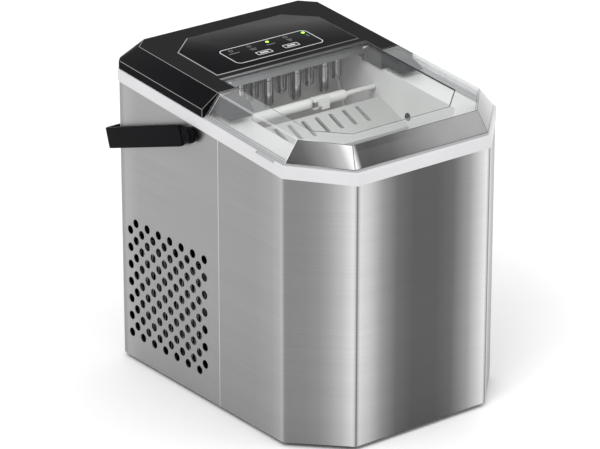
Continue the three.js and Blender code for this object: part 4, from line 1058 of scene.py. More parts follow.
@dataclass
class TopRim:
    """The satin frame that closes the top of the steel."""

    height: float = 10.6
    width: float = 10.0
    lip: float = 1.3
    rear_cut: float = 5.0
    rear_round: float = 4.0
    rear_from: float = 240.0
    notch_from: float = 54.0
    notch_to: float = 78.0
    notch_depth: float = 1.6
    strip_gap: float = 0.6
    seat_inset: float = 1.9
    seat_height: float = 1.15
    seat_rear: float = 150.6

    def build(self) -> None:
        """Makes the frame and the two latch strips let into it."""
        outer = LAY.outline(-LAY.overhang, self.rear_cut)
        bm = stack([(outer, -self.height * MM), (outer, 0)])
        rear = LAY.back(self.rear_from)
        round_edges(bm, self.rear_round * MM, 5, lambda e: upright(e) and e.verts[0].co.y > rear)
        round_edges(bm, self.lip * MM, 3, lambda e: not upright(e) and min(v.co.z for v in e.verts) > -SAME)
        frame_ring = put("top_frame", on_deck(bm))
        inner = LAY.outline(self.width)
        carve(frame_ring, on_deck(stack([(inner, -THROUGH), (inner, THROUGH)])))
        for side in Side:
            edge = side.value * LAY.side / MM
            bottom = edge - side.value * self.notch_depth
            x0, x1 = sorted((bottom, edge + side.value * 5))
            carve(frame_ring, deck_block((x0, self.notch_from, -self.notch_depth), (x1, self.notch_to, 5)))
            x0, x1 = sorted((bottom, edge + side.value * 0.3))
            low = (x0, self.notch_from + self.strip_gap, -self.notch_depth)
            strip = deck_block(low, (x1, self.notch_to - self.strip_gap, -0.5))
            piece = put(f"latch_strip_{side.name.lower()}", round_edges(strip, 0.2 * MM))
            # Painted shade along X leaves the left strip light and the right strip dark.
            dress(piece, "housing", [COVER_GREY_PAINTED_SHADE])
        dress(frame_ring, "housing", [SILVER_RIM], ["top_rim"])
        self.seat()

    def seat(self) -> None:
        """Makes the low step on the frame that the lid shuts over."""
        outline = LAY.outline(self.seat_inset)
        step = put("lid_seat", on_deck(stack([(outline, -0.2 * MM), (outline, self.seat_height * MM)])))
        inner = LAY.outline(self.width - 1.5)
        carve(step, on_deck(stack([(inner, -THROUGH), (inner, THROUGH)])))
        carve(step, deck_block((-150, self.seat_rear, -20), (150, 300, 20)))
        dress(step, "housing", [SEAT_GREY], rounding=0.2 * MM)


@dataclass
class ControlCover:
    """The black cover over the rear of the top, with an arm on each side of the lid."""

    band: float = 7.5
    top: float = 18.5
    half_top: float = 95.2
    arm_front: float = 152.2
    opening: float = 77.2
    face: float = 174.0
    wall: float = 2.5
    corner_x: float = 13.0
    corner_y: float = 11.5
    foot_corner: float = 5.0
    shrink: float = 0.3

    def ring(self, x: float, rear: float, cut_x: float, cut_y: float) -> list[tuple[float, float]]:
        """An outline of the cover with cut rear corners.

        Args:
            x: Half its width, in millimetres.
            rear: Depth of its rear edge.
            cut_x: Corner cut along the rear.
            cut_y: Corner cut along the side.

        Returns:
            Its corners in metres.
        """
        y0, y1 = LAY.back(self.arm_front), LAY.back(rear)
        x, cx, cy = x * MM, cut_x * MM, cut_y * MM
        return [(-x, y0), (x, y0), (x, y1 - cy), (x - cx, y1), (-x + cx, y1), (-x, y1 - cy)]

    def hollow(self, side: float, rear: float) -> bmesh.types.BMesh:
        """The space under the cover's rear part.

        Args:
            side: Half the cover's width at its foot, in millimetres.
            rear: Depth of its rear edge.

        Returns:
            The cutter's mesh.
        """
        wall = self.wall
        y0, y1 = LAY.back(self.face + wall), LAY.back(rear - self.corner_y)
        levels = ((side - wall, -5), (side - wall, self.band - 1), (self.half_top - wall, self.top - wall))
        rings = []
        for x, height in levels:
            rings.append(([(-x * MM, y0), (x * MM, y0), (x * MM, y1), (-x * MM, y1)], height * MM))
        return on_deck(stack(rings))

    def build(self) -> None:
        """Makes the cover, its grey front face with painted shade from left to right, and painted highlights
        in a lighter grey on its rounded edges.
        """
        side = LAY.side / MM - self.shrink
        rear = (LAY.rear - LAY.front) / MM - self.shrink
        foot = self.ring(side, rear, self.foot_corner, self.foot_corner)
        crown = self.ring(self.half_top, rear - 0.4, self.corner_x, self.corner_y)
        bm = stack([(foot, 0.3 * MM), (foot, self.band * MM), (crown, self.top * MM)])
        cover = put("control_cover_shell", on_deck(bm))
        carve(cover, deck_block((-self.opening, 100, -5), (self.opening, self.face, 30)))
        carve(cover, self.hollow(side, rear))
        gap = self.opening - 1.5
        carve(cover, deck_block((-gap, self.face - 1, -5), (gap, self.face + self.wall + 1, self.band)))
        half, depth = (self.opening + 0.1) * MM, LAY.back(self.face + 1)
        for polygon in cover.data.polygons:
            inside = abs(polygon.center.x) < half and polygon.center.y < depth
            polygon.material_index = 1 if inside and abs(polygon.normal.z) < 0.3 else 0
        # The grey face takes painted shade and the rounded edges a painted highlight.
        dress(cover, "housing", [GLOSS_BLACK, COVER_GREY_PAINTED_SHADE, PAINTED_EDGE_HIGHLIGHT], ["control_cover"],
              rounding=0.25 * MM, edge_finish=2)


@dataclass
class ControlPanel:
    """The glossy plate with its lights, its printed lines and its two keys."""

    half: float = 75.5
    front: float = 180.0
    rear: float = 257.5
    corner_x: float = 25.0
    corner_y: float = 21.0
    foot: float = 17.2
    top: float = 18.9
    bevel: float = 1.1
    window: tuple = (-46.0, 189.4, 46.0, 220.0)
    line: float = 0.75
    light_depth: float = 215.0
    lights: tuple = (-35.4, -16.2, 3.0, 22.2, 41.4)
    lit: tuple = (2, 4)
    dash_halves: tuple = (5.5, 3.4, 4.6, 2.4, 1.6)
    dash_rows: tuple = (1, 2, 1, 2, 2)
    key_depth: float = 198.0
    key_middle: float = 1.5
    key_apart: float = 14.2
    key_width: float = 16.5
    key_length: float = 7.2
    key_gap: float = 0.35
    print_inset: float = 0.4
    print_rise: float = 0.06

    def plan(self, inset: float) -> list[tuple[float, float]]:
        """The plate's outline, moved inwards in millimetres.

        Args:
            inset: Distance inwards.

        Returns:
            Its corners in metres.
        """
        x, y0, y1 = (self.half - inset) * MM, LAY.back(self.front + inset), LAY.back(self.rear - inset)
        cx, cy = (self.corner_x - inset * 0.35) * MM, (self.corner_y - inset * 0.3) * MM
        return [(-x, y0), (x, y0), (x, y1 - cy), (x - cx, y1), (-x + cx, y1), (-x, y1 - cy)]

    def frame_line(self, spot: Sequence[float], round_by: float, top: float) -> bmesh.types.BMesh:
        """A thin printed rectangle with rounded corners.

        Args:
            spot: Left, near, right and far edge, in millimetres.
            round_by: Radius of its corners.
            top: Height over the deck.

        Returns:
            The line's mesh.
        """
        x0, y0, x1, y1 = spot
        corners = [(x0, y0), (x1, y0), (x1, y1), (x0, y1)]
        plan = [(x * MM, LAY.back(y)) for x, y in corners]
        bm = bmesh.new()
        face = bm.faces.new([bm.verts.new((x, y, top * MM)) for x, y in plan])
        bmesh.ops.bevel(bm, geom=face.verts[:], offset=round_by * MM, offset_type="OFFSET", segments=5,
                        profile=0.5, affect="VERTICES", material=-1)
        bm.faces.ensure_lookup_table()
        ring = bmesh.ops.inset_region(bm, faces=bm.faces[:], thickness=self.line * MM,
                                      use_even_offset=True, use_boundary=True)["faces"]
        bmesh.ops.delete(bm, geom=[f for f in bm.faces if f not in ring], context="FACES")
        bmesh.ops.recalc_face_normals(bm, faces=bm.faces)
        out = bmesh.ops.extrude_face_region(bm, geom=bm.faces[:])["geom"]
        bmesh.ops.translate(bm, vec=(0, 0, self.print_rise * MM), verts=new_verts(out))
        bmesh.ops.recalc_face_normals(bm, faces=bm.faces)
        return on_deck(bm)

    def plate(self) -> None:
        """Makes the plate with its bevelled edge, whose sloping faces take a painted highlight."""
        levels = ((0, self.foot), (0, self.top - 0.5), (self.bevel, self.top))
        bm = stack([(self.plan(inset), height * MM) for inset, height in levels])
        plate = put("control_plate", on_deck(bm))
        for side in Side:
            x = self.key_x(side)
            w, d = self.key_width / 2 + self.key_gap, self.key_length / 2 + self.key_gap
            carve(plate, deck_block((x - w, self.key_depth - d, 10), (x + w, self.key_depth + d, 25)))
        for polygon in plate.data.polygons:
            leaning = 0.2 < polygon.normal.z < 0.97
            polygon.material_index = 1 if leaning else 0
        finishes = [PANEL_BLACK, PAINTED_EDGE_HIGHLIGHT]
        dress(plate, "housing", finishes, ["control_panel"], rounding=0.15 * MM)

    def key_x(self, side: Side) -> float:
        """Middle of a key, in millimetres."""
        return self.key_middle + side.value * self.key_apart

    def keys(self) -> None:
        """Makes the two keys, each with a printed frame on its top."""
        names = {Side.LEFT: "power", Side.RIGHT: "select"}
        for side, word in names.items():
            x, y = self.key_x(side), self.key_depth
            w, d = self.key_width / 2, self.key_length / 2
            cap = deck_block((x - w, y - d, self.top - 4), (x + w, y + d, self.top + 0.35))
            round_edges(cap, 0.9 * MM, 3, upright)
            round_edges(cap, 0.3 * MM, 2)
            piece = put(f"{word}_key_cap", cap)
            dress(piece, f"{word}_key", [PANEL_BLACK], [f"{word}_button"])
            inset = self.print_inset
            spot = (x - w + inset, y - d + inset, x + w - inset, y + d - inset)
            outline = self.frame_line(spot, 1.1, self.top + 0.33)
            mark = deck_block((x - w + 4, y - 0.9, self.top + 0.3), (x + w - 4, y + 0.9, self.top + 0.4))
            piece = put(f"{word}_key_print", join(outline, mark))
            dress(piece, f"{word}_key", [INK])

    def disc(self, x: float, y: float, radius: float, low: float, high: float) -> bmesh.types.BMesh:
        """A low dome on the deck.

        Args:
            x: Middle across the deck, in millimetres.
            y: Depth of the middle.
            radius: Its radius.
            low: Height of its foot over the deck.
            high: Height of its top.

        Returns:
            The body's mesh.
        """
        r, rise = radius * MM, (high - low) * MM
        bm = lathe([(0, 0), (r, 0), (r, rise * 0.45), (r * 0.75, rise * 0.85), (0, rise)], 24)
        return on_deck(turned(bm, Matrix.Translation((x * MM, LAY.back(y), low * MM))))

    def ring(self, x: float, y: float, radius: float, low: float) -> bmesh.types.BMesh:
        """A thin printed ring round a light.

        Args:
            x: Middle across the deck, in millimetres.
            y: Depth of the middle.
            radius: Radius of the ring's middle line.
            low: Height of its foot over the deck.

        Returns:
            The ring's mesh.
        """
        r, w, rise = radius * MM, 0.35 * MM, 0.07 * MM
        bm = bmesh.new()
        corners = [(r - w, 0), (r + w, 0), (r + w, rise), (r - w, rise)]
        verts = [bm.verts.new((a, 0, b)) for a, b in corners]
        edges = [bm.edges.new((verts[i], verts[(i + 1) % 4])) for i in range(4)]
        bmesh.ops.spin(
            bm, geom=verts + edges, cent=(0, 0, 0), axis=(0, 0, 1), dvec=(0, 0, 0),
            angle=2 * math.pi, steps=28, use_merge=True,
        )
        bmesh.ops.remove_doubles(bm, verts=bm.verts, dist=1e-7)
        bmesh.ops.recalc_face_normals(bm, faces=bm.faces)
        return on_deck(turned(bm, Matrix.Translation((x * MM, LAY.back(y), low * MM))))

    def light_row(self) -> None:
        """Makes the lights, their rings and the short plain dashes under them."""
        rings, dashes = [], []
        for index, x in enumerate(self.lights):
            glow = index in self.lit
            radius = 1.9 if glow else 1.5
            high = self.top + (0.5 if glow else 0.2)
            piece = put(f"light_{index + 1}", self.disc(x, self.light_depth, radius, self.top - 1.5, high))
            finish = LIT if glow else LENS_DARK
            dress(piece, "housing", [finish], [f"led_window_{index + 1}"])
            if not glow:
                rings.append(self.ring(x, self.light_depth, 1.9, self.top))
            for row in range(self.dash_rows[index]):
                y = self.light_depth - 5.4 - row * 2.4
                half = self.dash_halves[index] * (1 - 0.25 * row)
                low, high = (x - half, y - 0.7, self.top - 0.05), (x + half, y + 0.7, self.top + 0.05)
                dashes.append(deck_block(low, high))
        dress(put("light_rings", join(*rings)), "housing", [FAINT_INK])
        dress(put("light_dashes", join(*dashes)), "housing", [FAINT_INK])

    def build(self) -> None:
        """Makes the whole panel."""
        self.plate()
        outline = self.frame_line(self.window, 5.0, self.top)
        dress(put("window_line", outline), "housing", [INK])
        self.keys()
        self.light_row()


# ---------------------------------------------------------------- lid


@dataclass
class Lid:
    """The clear lid: sloping sides, a flat border, a sunk window and a tongue to its hinge."""

    foot: float = 1.5
    top: float = 18.5
    wall: float = 2.2
    half_foot: float = 109.6
    half_top: float = 95.2
    front_foot: float = 3.4
    front_top: float = 12.4
    rear: float = 150.8
    cut: tuple = (30.0, 33.0)
    window: tuple = (76.0, 30.5, 25.0, 23.0)
    sink: float = 0.9
    line: float = 0.8
    tongue: float = 76.6
    tongue_rear: float = 171.7

    def hull(self, wall: float, past: float) -> bmesh.types.BMesh:
        """The lid's outside, or its hollow when it is shrunk by a wall.

        Args:
            wall: Thickness to shrink it by, in millimetres; 0 for the outside.
            past: How far it runs on below and behind, so that a cut goes right through.

        Returns:
            The body's mesh.
        """
        side, top = self.half_foot - wall, self.half_top - wall / 2
        front, crown = self.front_foot + wall, self.front_top + wall / 2
        reach = side - (LAY.side / MM - LAY.chamfer_x)
        foot_plan = octagon(side, front, self.rear + past, reach, LAY.chamfer_y - front)
        crown_plan = octagon(top, crown, self.rear + past, *self.cut)
        return on_deck(stack([(foot_plan, (self.foot - past) * MM), (crown_plan, (self.top - wall) * MM)]))

    def build(self) -> None:
        """Makes the lid and the painted line of dark shade round its window."""
        shell = put("clear_lid", self.hull(0, 0))
        carve(shell, self.hull(self.wall, 1))
        carve(shell, deck_block((-self.tongue, self.rear - 1, self.top - self.wall),
                                (self.tongue, self.tongue_rear, self.top)), "UNION")
        x, front, cx, cy = self.window
        pane = octagon(x, front, self.tongue_rear - 1, cx, cy)
        carve(shell, on_deck(stack([(pane, (self.top - self.sink) * MM), (pane, THROUGH)])))
        for polygon in shell.data.polygons:
            polygon.material_index = self.zone(polygon)
        # The front, corner, side and edge faces take painted reflections and shade.
        finishes = [LID_CLEAR, LID_BORDER, LID_FRONT_PAINTED_REFLECTION, LID_CORNER_PAINTED_REFLECTION, LID_SIDE_PAINTED_SHADE, LID_EDGE_PAINTED_REFLECTION]
        dress(shell, "lid", finishes, ["lid"], rounding=0.45 * MM, edge_finish=5)
        self.pane_line()

    def pane_line(self) -> None:
        """Makes the fine dark line of painted shade round the sunk window."""
        x, front, cut_x, cut_y = self.window
        line, level, rear = self.line, self.top - self.sink, self.tongue_rear - 2
        outer = octagon(x - 0.1, front + 0.1, rear, cut_x, cut_y)
        inner = octagon(x - line, front + line, rear - line, cut_x - line * 0.4, cut_y - line * 0.4)
        body = stack([(outer, (level + 0.02) * MM), (outer, (level + 0.08) * MM)])
        ring = put("window_painted_shade_line", on_deck(body))
        carve(ring, on_deck(stack([(inner, 0), (inner, THROUGH)])))
        dress(ring, "lid", [PAINTED_SHADE_LINE])

    def zone(self, polygon: bpy.types.MeshPolygon) -> int:
        """Number of the finish for one face: window, border, front, corner or side.

        Args:
            polygon: A face of the lid.

        Returns:
            The place of its finish in the lid's list.
        """
        normal, middle = polygon.normal, polygon.center
        height = (middle.z - LAY.deck(middle.y)) / MM
        if abs(normal.z) > 0.98:
            return 1 if height > self.top - 0.4 else 0
        if height > self.top - 1.2:
            return 5
        if normal.y < -0.55 and abs(normal.x) < 0.2:
            return 2
        if normal.y < -0.2:
            return 3
        return 4 if abs(normal.x) > 0.3 else 0


@dataclass
class LidHinge:
    """The dark blocks beside the lid's rear corners, and the pins in the arms."""

    inner: float = 78.2
    rear: float = 151.9
    length: float = 26.0
    levels: tuple = ((24.0, 0.0, 4.5), (19.5, 0.0, 10.0), (15.0, 5.0, 15.3))
    knob_radius: float = 2.6
    knob_length: float = 6.0
    knob_start: float = 98.0
    knob_height: float = 4.4
    knob_inset: float = 5.0

    def build(self) -> None:
        """Makes both blocks, through levels of width, set-back and height, and both pins."""
        for side in Side:
            word = side.name.lower()
            rings = []
            for width, nose, height in self.levels:
                x0, x1 = sorted((side.value * self.inner, side.value * (self.inner + width)))
                y0 = LAY.back(self.rear - self.length + nose)
                y1 = LAY.back(self.rear)
                rings.append(([(x0 * MM, y0), (x1 * MM, y0), (x1 * MM, y1), (x0 * MM, y1)], height * MM))
            body = on_deck(stack(rings))
            round_edges(body, 0.8 * MM, 3)
            piece = put(f"hinge_block_{word}_cap", join(body, self.knob(side)))
            dress(piece, "housing", [DARK_GREY], [f"hinge_block_{word}"])
            self.pin(f"lid_pin_{word}")

    def knob(self, side: Side) -> bmesh.types.BMesh:
        """A small round boss on the outer side of a block, near its foot.

        Args:
            side: The side that the block is on.

        Returns:
            The boss's mesh.
        """
        r, length, c = self.knob_radius * MM, self.knob_length * MM, 0.5 * MM
        bm = lathe([(0, 0), (r, 0), (r, length - c), (r - c, length), (0, length)], 20)
        y = LAY.back(self.rear - self.knob_inset)
        spot = Matrix.Translation((side.value * self.knob_start * MM, y, self.knob_height * MM))
        return on_deck(turned(bm, spot @ Matrix.Rotation(side.value * math.pi / 2, 4, "Y")))

    def pin(self, node: str) -> None:
        """Makes a turned pin between a node's two ends.

        Args:
            node: The CAD node that the pin replaces.
        """
        low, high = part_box(node)
        r, length, c = (high.y - low.y) / 2, high.x - low.x, 0.3 * MM
        bm = lathe([(0, 0), (r - c, 0), (r, c), (r, length - c), (r - c, length), (0, length)], 20)
        piece = put(f"{node}_turned", turned(bm, lying_in(low, high)))
        dress(piece, "housing", [ALUMINIUM], [node])


# ---------------------------------------------------------------- handle


@dataclass
class Handle:
    """The strap that folds back round the machine, with its knuckles and studs."""

    strap: float = 18.0
    thickness: float = 4.6
    inner: float = 113.6
    reach: float = 127.0
    start: float = 9.5
    end_cut: float = 4.6
    eye: float = 7.0
    shank: float = 3.4
    fold: float = 0.314

    def placed(self, bm: bmesh.types.BMesh) -> bmesh.types.BMesh:
        """Turns a mesh made about the pivot to the folded pose.

        Args:
            bm: The mesh.

        Returns:
            The same mesh.
        """
        low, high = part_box("handle_pivot_left")
        pivot = Vector((0, (low.y + high.y) / 2, (low.z + high.z) / 2))
        return turned(bm, Matrix.Translation(pivot) @ Matrix.Rotation(-self.fold, 4, "X"))

    def strap_body(self) -> bmesh.types.BMesh:
        """The U-shaped strap, round at its corners and along its edges.

        Returns:
            The strap's mesh, about the pivot.
        """
        path = [(-self.inner, self.start), (-self.inner, self.reach - self.thickness),
                (self.inner, self.reach - self.thickness), (self.inner, self.start)]
        bm = bmesh.new()
        verts = [bm.verts.new((x * MM, y * MM, -self.strap / 2 * MM)) for x, y in path]
        edges = [bm.edges.new(pair) for pair in zip(verts, verts[1:])]
        out = bmesh.ops.extrude_edge_only(bm, edges=edges)["geom"]
        bmesh.ops.translate(bm, vec=(0, 0, self.strap * MM), verts=new_verts(out))
        round_edges(bm, 3.0 * MM, 6, lambda e: upright(e) and len(e.link_faces) == 2)
        bmesh.ops.recalc_face_normals(bm, faces=bm.faces)
        probe = max(bm.faces, key=lambda f: f.calc_center_median().y)
        if probe.normal.y > 0:
            bmesh.ops.reverse_faces(bm, faces=bm.faces)
        bmesh.ops.solidify(bm, geom=bm.faces[:], thickness=self.thickness * MM)
        bmesh.ops.recalc_face_normals(bm, faces=bm.faces)
        end, half = self.start * MM + SAME, self.strap / 2 * MM
        return round_edges(
            bm, self.end_cut * MM, 2,
            lambda e: all(v.co.y < end and abs(abs(v.co.z) - half) < SAME for v in e.verts)
            and abs(e.verts[0].co.z - e.verts[1].co.z) < SAME,
        )

    def knuckle(self, side: Side) -> bmesh.types.BMesh:
        """The round end of one arm, thinner than the strap, with its neck.

        Args:
            side: The side that the arm is on.

        Returns:
            The knuckle's mesh, about the pivot.
        """
        r, t = self.eye * MM, self.thickness * MM
        profile = [
            (0, 0), (r - 0.0006, 0), (r, 0.0006), (r, t - 0.0014), (r - 0.0012, t - 0.0004), (0, t - 0.0004),
        ]
        neck = block((-r * 0.92, -0.0005, 0.0004), (r * 0.92, (self.start + 3) * MM, t - 0.0012))
        round_edges(neck, 0.5 * MM, 2)
        spot = Matrix.Translation((side.value * self.inner * MM, 0, 0))
        turn = Matrix.Rotation(side.value * math.pi / 2, 4, "Y")
        return turned(join(lathe(profile, 36), neck), spot @ turn)

    def build(self) -> None:
        """Makes the handle and its two studs."""
        strap = put("handle_strap", self.placed(self.strap_body()))
        dress(strap, "handle", [SATIN_BLACK], ["handle"], rounding=0.8 * MM, segments=3)
        for side in Side:
            word = side.name.lower()
            knuckle = put(f"handle_knuckle_{word}", self.placed(self.knuckle(side)))
            dress(knuckle, "handle", [SATIN_BLACK])
            self.stud(f"handle_pivot_{word}", side)

    def stud(self, node: str, side: Side) -> None:
        """Makes a stud: a shank and a head with a dished middle.

        Args:
            node: The CAD node that the stud replaces.
            side: The side that it is on.
        """
        low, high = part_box(node)
        length, head, shank = high.x - low.x, (high.y - low.y) / 2, self.shank * MM
        under, rim, dish = length - 1.7 * MM, length - 0.15 * MM, length - 0.6 * MM
        profile = [
            (0, 0), (shank, 0), (shank, under), (head, under), (head, length - 0.8 * MM),
            (head - 0.7 * MM, rim), (head * 0.55, rim), (head * 0.5, dish), (0, dish),
        ]
        foot = low.x if side is Side.RIGHT else high.x
        spot = Matrix.Translation((foot, (low.y + high.y) / 2, (low.z + high.z) / 2))
        bm = turned(lathe(profile, 32), spot @ Matrix.Rotation(side.value * math.pi / 2, 4, "Y"))
        piece = put(f"handle_stud_{side.name.lower()}", bm)
        dress(piece, "housing", [SATIN_BLACK], [node])


# ---------------------------------------------------------------- inside


@dataclass
class FreezingFingers:
    """The plated fingers that the ice forms on."""

    count: int = 9

    def map_turn(self, bm: bmesh.types.BMesh) -> None:
        """Writes the turn map of a round mesh that still stands on the axis.

        Args:
            bm: The finger's mesh.
        """
        layer = bm.loops.layers.uv.new("turn")
        for face in bm.faces:
            middle = face.calc_center_median()
            face_turn = math.atan2(middle.y, middle.x)
            for loop in face.loops:
                spot = loop.vert.co
                own = math.atan2(spot.y, spot.x) if spot.xy.length > SAME else face_turn
                own += 2 * math.pi * round((face_turn - own) / (2 * math.pi))
                loop[layer].uv = (own / (2 * math.pi) + 1, spot.z)

    def build(self) -> None:
        """Makes each finger with its rounded tip and its collar."""
        for index in range(1, self.count + 1):
            node = f"freezing_finger_{index}"
            low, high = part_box(node)
            r, tall = (high.x - low.x) / 2, high.z - low.z
            dome = [(r * math.sin(a), r * (1 - math.cos(a))) for a in (i * math.pi / 16 for i in range(9))]
            profile = [*dome, (r, tall - 3 * MM), (r * 0.92, tall - 2.6 * MM), (r * 0.92, tall), (0, tall)]
            bm = lathe(profile, 40)
            self.map_turn(bm)
            piece = put(f"plated_finger_{index}", turned(bm, standing_at(low, high)))
            dress(piece, "housing", [CHROME], [node])


@dataclass
class Pusher:
    """The round bar with its notched bracket, ahead of the tray."""

    bar: float = 4.5
    under_deck: float = 19.5
    left: float = -54.0
    right: float = 48.0
    bracket: tuple = (9.0, 26.0)

    def build(self) -> None:
        """Makes the bar, its stub ends and the bracket."""
        low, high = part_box("ice_shovel")
        y = high.y - self.bar * MM
        z = LAY.deck(y) - self.under_deck * MM
        length, r = (self.right - self.left) * MM, self.bar * MM
        rounded = [
            (0, 0), (r * 0.6, 0.0004), (r * 0.9, 0.0016), (r, 0.004), (r, length - 0.004),
            (r * 0.9, length - 0.0016), (r * 0.6, length - 0.0004), (0, length),
        ]
        bar = turned(lathe(rounded, 40), Matrix.Translation((self.left * MM, y, z)) @ TURN_TO_X)
        thin, reach = r / 2, high.x - low.x
        stub = lathe([(0, 0), (thin, 0), (thin, reach), (0, reach)], 20)
        turned(stub, Matrix.Translation((low.x, y, z)) @ TURN_TO_X)
        x0, x1 = (v * MM for v in self.bracket)
        front, middle = low.y, (x0 + x1) / 2
        hook = block((x0, front, z - r * 0.6), (x1, y, z + r + 0.001))
        left_leg = block((x0, front, z - r * 0.9), (x0 + 0.005, front + 0.003, z + r * 0.7))
        toe = block((middle, front - 0.0001, z - r - 0.0014), (x1, front + 0.003, z))
        for part in (hook, left_leg, toe):
            round_edges(part, 0.5 * MM, 2)
        piece = put("pusher_bar", join(bar, stub, hook, left_leg, toe))
        dress(piece, "shovel", [WHITE], ["ice_shovel"])


@dataclass
class Ramp:
    """The slotted slide that the ice runs down into the basket."""

    ahead_of_bar: float = 12.0
    under_deck: float = 26.0
    thickness: float = 3.0
    length: float = 42.0
    pitch: float = 0.38
    slots: int = 8
    slot_pitch: float = 14.5
    slot_width: float = 4.0
    slot_length: float = 20.0
    slot_start: float = 4.0

    def build(self) -> None:
        """Makes the slide with its slots."""
        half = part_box("ice_ramp")[1].x
        bm = block((-half, -self.length * MM, -self.thickness * MM), (half, 0, 0))
        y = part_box("ice_shovel")[1].y - self.ahead_of_bar * MM
        rear = (0, y, LAY.deck(y) - self.under_deck * MM)
        place = Matrix.Translation(rear) @ Matrix.Rotation(self.pitch, 4, "X")
        slide = put("ice_slide", turned(bm, place))
        w, y1 = self.slot_width / 2 * MM, -self.slot_start * MM
        for index in range(self.slots):
            x = (index - (self.slots - 1) / 2) * self.slot_pitch * MM
            tool = block((x - w, y1 - self.slot_length * MM, -0.01), (x + w, y1, 0.01))
            round_edges(tool, 1.6 * MM, 4, upright)
            carve(slide, turned(tool, place))
        dress(slide, "housing", [RAMP_WHITE_PAINTED_SHADE], ["ice_ramp"], rounding=0.5 * MM)


@dataclass
class RoundParts:
    """Small turned parts: feet, drain plug and the level sensor."""

    def build(self) -> None:
        """Makes them all."""
        for spot in ("rear_left", "rear_right", "front_left", "front_right"):
            low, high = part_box(f"foot_{spot}")
            r, tall = (high.x - low.x) / 2, high.z - low.z
            profile = [
                (0, 0), (r * 0.5, 0), (r * 0.55, 0.0004), (r * 0.8, 0.0004), (r * 0.84, 0),
                (r - 0.0006, 0), (r, 0.0006), (r * 0.97, tall), (0, tall),
            ]
            piece = put(f"rubber_foot_{spot}", turned(lathe(profile, 40), standing_at(low, high)))
            dress(piece, "housing", [RUBBER], [f"foot_{spot}"])
        self.plug()
        self.sensor()

    def plug(self) -> None:
        """Makes the drain plug with a dished, ribbed head."""
        low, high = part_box("drain_plug")
        head, length = (high.y - low.y) / 2, high.x - low.x
        stem, rise = 3.9 * MM, 5 * MM
        base = length - rise
        dish = length - 0.001
        profile = [
            (0, 0), (stem - 0.0006, 0), (stem, 0.0006), (stem, base), (head, base), (head, base + 0.0012),
            (head - 0.0006, base + 0.0018), (head, base + 0.0024), (head, length - 0.0008),
            (head - 0.0008, length), (head - 0.0025, length), (head - 0.0035, dish), (0, dish),
        ]
        piece = put("rubber_plug", turned(lathe(profile, 40), lying_in(low, high)))
        dress(piece, "drain_plug", [RUBBER], ["drain_plug"])

    def sensor(self) -> None:
        """Makes the sensor's eye in the tank's right wall."""
        low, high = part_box("ice_sensor")
        r, length = (high.y - low.y) / 2, high.x - low.x
        profile = [
            (0, 0.0006), (r * 0.45, 0.0006), (r * 0.6, 0), (r - 0.0005, 0), (r, 0.0005),
            (r, length), (0, length),
        ]
        piece = put("sensor_eye", turned(lathe(profile, 32), lying_in(low, high)))
        dress(piece, "housing", [DARK_GREY], ["ice_sensor"])


KEPT = {
    "base_pan": SATIN_BLACK, "control_board": BOARD, "tank_liner": LINER_WHITE_PAINTED_LIGHT, "ice_basket": WHITE,
    "evaporator_tube": COPPER, "water_tray": WHITE, "tray_motor": ALUMINIUM, "compressor": COMPRESSOR_PAINT,
    "condenser": ALUMINIUM, "fan_frame": SATIN_BLACK, "fan_motor": ALUMINIUM, "fan_blade": SATIN_BLACK,
    "suction_line": COPPER, "discharge_line": COPPER, "water_pump": WHITE, "pump_hose": HOSE,
    "drain_tube": WHITE, "power_board": BOARD, "power_inlet": SATIN_BLACK,
}


def finish_kept_nodes() -> None:
    """Gives each CAD node that stays in view its finish."""
    for name, finish in KEPT.items():
        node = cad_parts[name]
        node.data.materials.clear()
        node.data.materials.append(shared(finish))
        LOG.info("%s keeps its shape", name)


# ---------------------------------------------------------------- studio


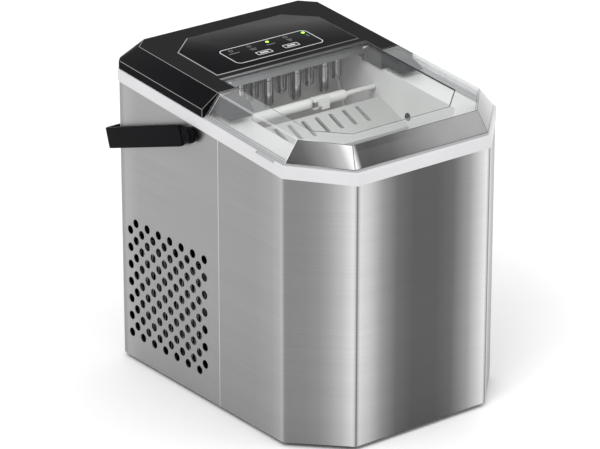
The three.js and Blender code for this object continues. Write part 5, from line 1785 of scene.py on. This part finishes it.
@dataclass
class Studio:
    """A pale floor, soft light and the camera."""

    azimuth: float = -37.68
    elevation: float = 22.61
    distance: float = 2.957
    lens: float = 210.4
    aim: tuple = (-0.0211, -0.005685, 0.1443)
    sky: float = 1.02

    def floor(self) -> None:
        """Makes the floor."""
        bm = bmesh.new()
        bmesh.ops.create_grid(bm, x_segments=2, y_segments=2, size=12)
        ground = put("floor", bm)
        graph = Graph("pale_floor")
        cloud = graph.noise(2)
        graph.feed(graph.ramp(cloud, [(0.3, grey(0.91)), (0.7, grey(0.93))]), "Base Color")
        graph.shader.inputs["Roughness"].default_value = 0.9
        graph.shader.inputs["Specular IOR Level"].default_value = 0.1
        ground.data.materials.append(graph.material)

    def lamp(self, name: str, spot: Sequence[float], size: float, power: float) -> None:
        """Makes a square soft light aimed at the machine.

        Args:
            name: The light's name.
            spot: Its place, in metres.
            size: Its side length.
            power: Its power in watts.
        """
        data = bpy.data.lights.new(name, "AREA")
        data.shape, data.size, data.energy = "SQUARE", size, power
        made = bpy.data.objects.new(name, data)
        made.location = spot
        made.rotation_mode = "QUATERNION"
        made.rotation_quaternion = (Vector(self.aim) - Vector(spot)).to_track_quat("-Z", "Y")
        made.visible_glossy = False
        bpy.context.scene.collection.objects.link(made)

    def camera(self) -> None:
        """Makes the camera."""
        data = bpy.data.cameras.new("view")
        data.lens, data.sensor_width = self.lens, 36
        data.clip_start, data.clip_end = 0.1, 60
        a, e = math.radians(self.azimuth), math.radians(self.elevation)
        back = Vector((math.sin(a) * math.cos(e), -math.cos(a) * math.cos(e), math.sin(e)))
        made = bpy.data.objects.new("view", data)
        made.location = Vector(self.aim) + back * self.distance
        made.rotation_mode = "QUATERNION"
        made.rotation_quaternion = (-back).to_track_quat("-Z", "Y")
        bpy.context.scene.collection.objects.link(made)
        bpy.context.scene.camera = made

    def build(self) -> None:
        """Sets up the studio."""
        scene = bpy.context.scene
        scene.view_settings.view_transform = "Standard"
        world = bpy.data.worlds.new("studio")
        world.use_nodes = True
        background = world.node_tree.nodes["Background"]
        background.inputs["Color"].default_value = (1, 1, 1, 1)
        background.inputs["Strength"].default_value = self.sky
        scene.world = world
        self.floor()
        self.camera()
        self.lamp("key", (-1.6, -0.9, 2.2), 1.2, 26)
        self.lamp("fill", (1.8, -1.4, 1.6), 1.4, 12)


def main() -> None:
    """Builds the machine, part by part, then the studio."""
    logging.basicConfig(level=logging.INFO, format="%(name)s: %(message)s")
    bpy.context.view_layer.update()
    for part in (SteelWrap(), TopRim(), ControlCover(), ControlPanel(), Lid(), LidHinge(), Handle(),
                 FreezingFingers(), Pusher(), Ramp(), RoundParts()):
        LOG.info("building %s", type(part).__name__)
        part.build()
    finish_kept_nodes()
    Studio().build()
    bpy.context.view_layer.update()


if __name__ == "__main__":
    main()
